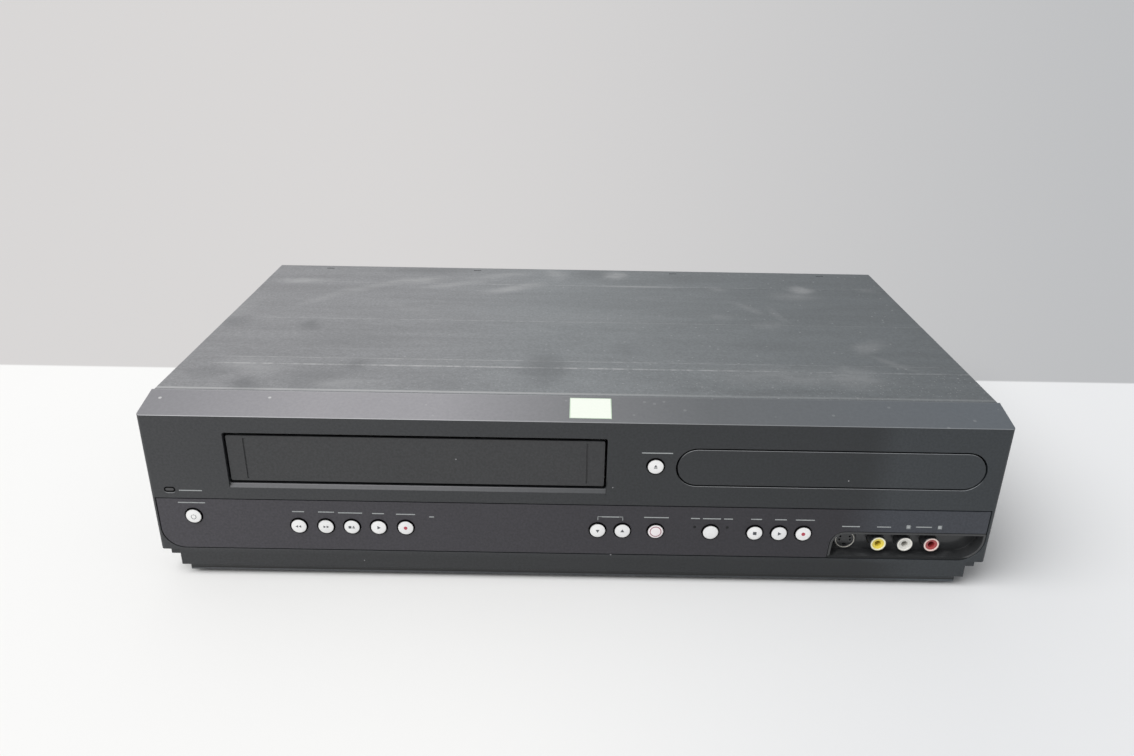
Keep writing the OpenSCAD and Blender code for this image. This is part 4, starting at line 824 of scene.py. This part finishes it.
def stamp(sides, radius, middle, front, thick=0.25, turn=0.0, wide=1.0, high=1.0):
    """A thin plate of 3, 4 or more corners that faces forward."""
    deselect()
    bpy.ops.mesh.primitive_circle_add(vertices=sides, radius=radius * MM, fill_type="NGON",
        location=at(middle[0], front, middle[1]), rotation=(math.pi / 2, math.radians(turn), 0))
    bpy.ops.object.transform_apply()
    edit_all()
    bpy.ops.transform.resize(value=(wide, 1, high), center_override=at(middle[0], front, middle[1]))
    bpy.ops.mesh.extrude_region_move(TRANSFORM_OT_translate={"value": (0, thick * MM, 0)})
    close_edit()
    return bpy.context.object


def bar(x_from, x_to, z_from, z_to, front, thick=0.25):
    """A thin printed bar between two corners."""
    side = math.sqrt(2)
    return stamp(4, 1, ((x_from + x_to) / 2, (z_from + z_to) / 2), front, thick, 45,
        (x_to - x_from) / side, (z_to - z_from) / side)


def hoop(middle, outer, inner, front, thick=0.25, steps=48):
    """A flat printed ring: a circle, inset, with the middle taken out."""
    piece = stamp(steps, outer, middle, front, thick)
    edit_where(piece, "FACE", lambda face: abs(face.normal.y) > 0.9)
    bpy.ops.mesh.inset(thickness=(outer - inner) * MM, use_individual=True)
    bpy.ops.mesh.bridge_edge_loops()
    close_edit()
    return piece


def joined(name, pieces):
    deselect()
    for piece in pieces:
        piece.select_set(True)
    bpy.context.view_layer.objects.active = pieces[0]
    bpy.ops.object.join()
    pieces[0].name = name
    return pieces[0]


def dress(piece, body, finish):
    """Gives a new piece its finish and the body it moves with."""
    piece.data.materials.clear()
    piece.data.materials.append(finish)
    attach(piece, body)
    return piece


# %% Signs on the buttons
CROWN = -0.79
BUTTON_AT = {"power": (-197.1, 36.9), "rewind": (-143, 31.8), "forward": (-128.9, 31.8),
    "stop_eject": (-115.4, 31.8), "play": (-101.5, 31.8), "record": (-87.4, 31.8),
    "tracking_down": (12.5, 32.1), "tracking_up": (25.4, 32.1), "dubbing": (42.7, 32.1),
    "disc_stop": (94.3, 32.1), "disc_play": (107, 32.1), "disc_record": (119.6, 32.1),
    "open_close": (40.7, 70.5)}


def sign(button, ink, *plates):
    dress(joined(button + "_sign", list(plates)), button + "_button", INKS[ink])


def arrow(middle, turn, size=0.85):
    return stamp(3, size, middle, CROWN, turn=turn)


def offset(button, dx=0.0, dz=0.0):
    return BUTTON_AT[button][0] + dx, BUTTON_AT[button][1] + dz


def cut_top(piece, middle, half):
    """Opens a ring at the top, which leaves room for the stroke of the power sign."""
    edit_where(piece, "VERT",
        lambda corner: abs(corner.co.x / MM - middle[0]) < half and corner.co.z / MM > middle[1])
    bpy.ops.mesh.delete(type="VERT")
    bpy.ops.mesh.select_all(action="SELECT")
    bpy.ops.mesh.fill_holes(sides=4)
    close_edit()
    return piece


def stroke(button, left, right, low, high):
    """A short bar of a sign, measured from the middle of its button."""
    x, z = BUTTON_AT[button]
    return bar(x + left, x + right, z + low, z + high, CROWN)


power_at = offset("power", 0.1, -0.35)
sign("power", "grey", cut_top(hoop(power_at, 1.35, 1.13, CROWN), power_at, 0.4),
    stroke("power", 0.01, 0.19, 0.45, 1.25))
sign("rewind", "grey", arrow(offset("rewind", -0.8), -90), arrow(offset("rewind", 0.8), -90))
sign("forward", "grey", arrow(offset("forward", -0.8), 90), arrow(offset("forward", 0.8), 90))
sign("stop_eject", "grey", stamp(4, 1.0, offset("stop_eject", -0.95), CROWN, turn=45),
    arrow(offset("stop_eject", 0.95, 0.15), 0, 0.72), stroke("stop_eject", 0.35, 1.55, -0.68, -0.42))
sign("play", "grey", arrow(offset("play"), 90, 1.15))
sign("record", "red", stamp(32, 0.95, offset("record"), CROWN))
sign("tracking_down", "grey", arrow(offset("tracking_down"), 180, 1.15))
sign("tracking_up", "grey", arrow(offset("tracking_up"), 0, 1.15))
sign("dubbing", "rose", hoop(BUTTON_AT["dubbing"], 3.05, 2.6, CROWN + 0.1, 0.4))
sign("disc_stop", "grey", stamp(4, 1.3, offset("disc_stop"), CROWN, turn=45))
sign("disc_play", "grey", arrow(offset("disc_play"), 90, 1.2))
sign("disc_record", "red", stamp(32, 1.0, offset("disc_record"), CROWN))
sign("open_close", "grey", arrow(offset("open_close", 0, 0.3), 0, 1.0),
    stroke("open_close", -0.87, 0.87, -0.85, -0.55))
print("button signs:", len(BUTTON_AT))


# %% [markdown]
# ## Dark carriers
# The pearl caps sit in black carriers: a thin black sleeve that grips the rounded rim of the cap, with a
# flange inside the hole of the panel. Their near-black finish also stands in for the shade in the gap round
# each cap, as painted shade. It is a lathe shape: a ring of points is drawn out again and again, and each
# new ring is scaled to the next radius of a profile, as a turner works from a template.

# %% Lathe helper
def turned(name, middle, profile, steps=64):
    """Draws a ring out through a closed profile of (radius, y) pairs about an axis along Y."""
    deselect()
    radius, depth = profile[0]
    bpy.ops.mesh.primitive_circle_add(vertices=steps, radius=radius * MM, fill_type="NOTHING",
        location=at(middle[0], depth, middle[1]), rotation=(math.pi / 2, 0, 0))
    piece = bpy.context.object
    piece.name = name
    bpy.ops.object.transform_apply()
    edit_all()
    for next_radius, next_depth in (*profile[1:], profile[0]):
        bpy.ops.mesh.extrude_edges_move(TRANSFORM_OT_translate={"value": (0, (next_depth - depth) * MM, 0)})
        share = next_radius / radius
        bpy.ops.transform.resize(value=(share, 1, share),
            center_override=at(middle[0], next_depth, middle[1]))
        radius, depth = next_radius, next_depth
    bpy.ops.mesh.select_all(action="SELECT")
    bpy.ops.mesh.remove_doubles(threshold=0.002 * MM)
    close_edit()
    bpy.ops.object.shade_smooth_by_angle(angle=math.radians(32))
    return piece


# %% Carriers
SOURCE_AT = (71.3, 32.1)
carrier_profile = [(3.98, -0.60), (4.06, -0.70), (4.17, -0.60), (4.17, 1.90), (4.70, 1.90), (4.70, 2.05),
    (3.98, 2.05)]
# Near-black carriers: partly real parts, partly painted shade in the gap round each cap.
for button, middle in {**BUTTON_AT, "source": SOURCE_AT}.items():
    dress(turned(button + "_carrier", middle, carrier_profile, 48), button + "_button",
        FINISHES["shadow_black"])
print("carriers:", len(BUTTON_AT) + 1)


# %% [markdown]
# ## Printed labels
# Thin bars stand in the places of the words over the controls, with a bracket over the tracking pair and two
# small squares over the sound sockets. They lie on the panel, and two of them on the front moulding.

# %% Bars and squares over the controls
PANEL_FRONT = 0.06
FACE_FRONT = -0.04
PANEL_BARS = [(-145.8, -139.6, 40.3), (-132.4, -124.1, 40.3), (-122.1, -109.6, 40.0), (-104.5, -98.3, 39.9),
    (-92.1, -82.2, 39.7), (-75.0, -72.4, 38.4), (14.6, 23.3, 40.2), (36.4, 49.2, 40.3), (60.7, 65.3, 40.1),
    (66.9, 76.2, 40.1), (77.8, 82.4, 40.1), (91.8, 97.4, 40.2), (104.2, 110.3, 40.2), (115.0, 124.8, 40.2),
    (139.4, 148.6, 36.8), (157.5, 164.7, 36.8), (177.7, 185.9, 37.1), (-204.2, -190.2, 44.7)]
FACE_BARS = [(-202.5, -190.7, 52.0), (33.5, 49.0, 78.1)]
BAR_HIGH = 0.55


def label_bars(spans, front):
    return [bar(left, right, z - BAR_HIGH / 2, z + BAR_HIGH / 2, front) for left, right, z in spans]


marks = label_bars(PANEL_BARS, PANEL_FRONT)
for button in ("tracking_down", "tracking_up"):
    marks.append(bar(BUTTON_AT[button][0] - 0.15, BUTTON_AT[button][0] + 0.15, 38.2, 40.475, PANEL_FRONT))
for left, right in ((12.35, 14.6), (23.3, 25.55)):
    marks.append(bar(left, right, 40.1, 40.4, PANEL_FRONT))
for x in (173.8, 190.1):
    square = stamp(4, 1.6, (x, 37.1), PANEL_FRONT, turn=45)
    finish_edges(square, 0.35)
    marks.append(square)
dress(joined("panel_print", marks), "cabinet", INKS["pale"])
dress(joined("face_print", label_bars(FACE_BARS, FACE_FRONT)), "cabinet", INKS["pale"])
print("printed bars:", len(PANEL_BARS) + len(FACE_BARS))


# %% [markdown]
# ## Lamp and sticker
# The power lamp is an oval smoked lens in a black surround, over a lip painted pale as a painted highlight,
# where its edge catches the light. The sticker on the slope is blank paper with a pale green edge: a thin
# plate that lies on the slope, half sunk.

# %% Lamp lens
LAMP_AT = (-207.2, 52.5)


def oval(length, height, front):
    """A plate with round ends: a bar whose four short edges get a bevel of half its height."""
    x, z = LAMP_AT
    piece = bar(x - length / 2, x + length / 2, z - height / 2, z + height / 2, front, 0.4)

    def runs_back(edge):
        first, second = (piece.data.vertices[v].co for v in edge.vertices)
        return abs(first.y - second.y) > 0.1 * MM

    edit_where(piece, "EDGE", runs_back)
    bpy.ops.mesh.bevel(offset=(height / 2 - 0.02) * MM, segments=8)
    bpy.ops.object.mode_set(mode="OBJECT")
    return piece


def lamp_plate(name, length, height, front, finish, lower=0.0):
    plate = oval(length, height, front)
    plate.name = name
    bpy.ops.transform.translate(value=(0, 0, -lower * MM))
    bpy.ops.object.transform_apply()
    dress(plate, "cabinet", finish)


# The lip's pale colour is a painted highlight along the lower edge of the lamp's window.
lit_lip = moulded_plastic("lit_lip", (0.17, 0.175, 0.18), (0.15, 0.155, 0.16), 0.4)
lamp_plate("lamp_lip", 5.4, 3.1, -0.02, lit_lip, 0.75)
lamp_plate("lamp_surround", 5.9, 3.1, -0.04, FINISHES["shadow_black"], 0.15)
lamp_plate("lamp_lens", 4.2, 1.5, -0.06, FINISHES["lamp_clear"])
print("lamp plates: 3")

# %% Sticker
STICKER_X = (-3.1, 18.0)
STICKER_Y = (3.2, 19.35)
FACE_TOP = 94.5
SLOPE_RISE = 4.7
PAPER_T = 0.1
MIDDLE_X = sum(STICKER_X) / 2
MIDDLE_Y = sum(STICKER_Y) / 2


def sticker_paper(name):
    """White paper with a faint fibre pattern and a pale green edge."""
    finish, tree, shader, place = new_finish(name, Specular_IOR_Level=0.3)
    axes = axes_of(tree, place)
    depth = maths(tree, "SUBTRACT", axes["Y"], front_y * MM)
    inside = times(tree, band(tree, axes["X"], MIDDLE_X, 10.05, 0.15), band(tree, depth, MIDDLE_Y, 7.6, 0.2))
    fibre = noise(tree, place, 900)
    white = blend(tree, fibre, (0.76, 0.80, 0.72), (0.82, 0.85, 0.78))
    set_link(tree, shader, Base_Color=blend(tree, inside, (0.50, 0.62, 0.48), white),
        Roughness=between(tree, fibre, 0.3, 0.7, 0.5, 0.62))
    return finish


deselect()
slope_angle = math.atan2(SLOPE_RISE, SLOPE_BACK)
bpy.ops.mesh.primitive_plane_add(size=1, rotation=(slope_angle, 0, math.radians(-0.6)),
    location=at(MIDDLE_X, MIDDLE_Y, FACE_TOP + SLOPE_RISE * MIDDLE_Y / SLOPE_BACK))
sticker = bpy.context.object
sticker.name = "sticker"
sticker.scale = ((STICKER_X[1] - STICKER_X[0]) * MM,
    (STICKER_Y[1] - STICKER_Y[0]) / math.cos(slope_angle) * MM, 1)
bpy.ops.object.transform_apply()
edit_all()
bpy.ops.mesh.extrude_region_move(TRANSFORM_OT_translate={"value": (0, 0, PAPER_T * MM)})
bpy.ops.mesh.select_all(action="SELECT")
bpy.ops.transform.translate(value=(0, 0, -PAPER_T / 2 * MM))
close_edit()
dress(sticker, "cabinet", sticker_paper("sticker_paper"))
print("sticker:", [round(v / MM, 1) for v in sticker.dimensions], "mm")


# %% [markdown]
# ## Sockets
# A phono socket on the front is a black sleeve with a pale rim round a coloured lining, with a small bore for
# the pin. The sleeve's black also stands in for the shade round the socket, and the rim's pale tint is a
# painted reflection of the light and of the lining in a plated rim. The imported node gives the barrel and
# the bore. The rims, linings and sleeves are more lathe work, and the same tool makes the plated skins and
# the threads of the rear sockets.

# %% Front sockets
PHONO_FRONT = 1.8
PHONO_Z = 25.2
rim_profile = [(3.98, PHONO_FRONT + 0.7), (3.98, PHONO_FRONT + 0.1), (3.88, PHONO_FRONT - 0.1),
    (3.2, PHONO_FRONT - 0.1), (3.08, PHONO_FRONT + 0.05), (3.08, PHONO_FRONT + 0.7)]
cone_profile = [(3.15, PHONO_FRONT + 0.05), (1.72, PHONO_FRONT + 0.45), (1.66, PHONO_FRONT + 1.0),
    (3.15, PHONO_FRONT + 1.0)]
sleeve_profile = [(4.27, PHONO_FRONT + 6.6), (4.27, PHONO_FRONT + 0.12), (4.15, PHONO_FRONT - 0.03),
    (3.9, PHONO_FRONT - 0.03), (3.9, PHONO_FRONT + 6.6)]
# The pale, tinted rims are a painted reflection of the light and of the lining in a plated rim.
RIMS = {"yellow": (0.85, 0.82, 0.58), "white": (0.80, 0.78, 0.72), "red": (0.83, 0.65, 0.59)}
FRONT_PHONO = (("video", 160.4, "yellow"), ("audio_left", 174.4, "white"), ("audio_right", 188.4, "red"))
S_VIDEO_AT = (144.3, 24.4)
s_video_profile = [(5.0, 8.5), (5.0, 6.75), (4.92, 6.68), (4.7, 6.68), (4.62, 6.75), (4.62, 8.5)]


def lathe(name, middle, profile, finish):
    dress(turned(name, middle, profile), "cabinet", finish)


for node, x, tint in FRONT_PHONO:
    slot = tint + "_socket"
    rim = polished_plastic(tint + "_rim", RIMS[tint], tuple(0.9 * c for c in RIMS[tint]), 0.35)
    lathe(node + "_rim", (x, PHONO_Z), rim_profile, rim)
    lathe(node + "_lining", (x, PHONO_Z), cone_profile, FINISHES[slot])
    # The black sleeve is partly real and also stands in for the shade round the socket, as painted shade.
    lathe(node + "_sleeve", (x, PHONO_Z), sleeve_profile, FINISHES["gloss_black"])
lathe("s_video_rim", S_VIDEO_AT, s_video_profile, FINISHES["nickel"])
print("front sockets dressed:", len(FRONT_PHONO) + 1)

# %% Rear sockets
REAR = 240
LININGS = {name: polished_plastic(name + "_ring", colour, tuple(0.8 * c for c in colour), 0.3)
    for name, colour in (("yellow", (0.80, 0.62, 0.07)), ("white", (0.80, 0.78, 0.74)),
        ("red", (0.62, 0.05, 0.055)), ("green", (0.06, 0.42, 0.12)), ("blue", (0.05, 0.14, 0.52)),
        ("orange", (0.80, 0.28, 0.03)))}
REAR_PHONO = [(82, 46, "yellow"), (96, 46, "white"), (110, 46, "red"), (82, 26, "yellow"),
    (96, 26, "white"), (110, 26, "red"), (146, 56, "green"), (146, 40, "blue"), (146, 24, "red"),
    (162, 24, "orange")]
skin_profile = [(4.2, REAR + 4), (4.2, REAR + 9.0), (4.05, REAR + 9.12), (3.5, REAR + 9.12),
    (3.4, REAR + 9.0), (3.4, REAR + 4)]
ring_profile = [(3.6, REAR + 6), (3.6, REAR + 9.05), (1.75, REAR + 9.05), (1.75, REAR + 6)]
collar_profile = [(5.5, REAR + 1.0), (5.5, REAR + 1.7), (5.2, REAR + 2.0), (4.3, REAR + 2.0),
    (4.1, REAR + 1.9), (4.1, REAR + 1.0)]
for x, z, tint in REAR_PHONO:
    place_name = "rear_%d_%d_" % (x, z)
    lathe(place_name + "skin", (x, z), skin_profile, FINISHES["nickel"])
    lathe(place_name + "lining", (x, z), ring_profile, LININGS[tint])
    lathe(place_name + "collar", (x, z), collar_profile, LININGS[tint])
THREAD_PITCH = 0.79
THREAD_TURNS = 13
AERIAL_X = 52
for z in (26, 48):
    thread = [(4.70, REAR + 2.0)]
    for turn_index in range(THREAD_TURNS):
        from_y = REAR + 2.2 + turn_index * THREAD_PITCH
        thread += [(4.74, from_y), (4.95, from_y + 0.3), (4.95, from_y + 0.42), (4.74, from_y + 0.72)]
    thread += [(4.3, REAR + 12.6), (4.3, REAR + 2.0)]
    lathe("aerial_thread_%d" % z, (AERIAL_X, z), thread, FINISHES["nickel"])
print("rear sockets dressed:", len(REAR_PHONO) + 2)
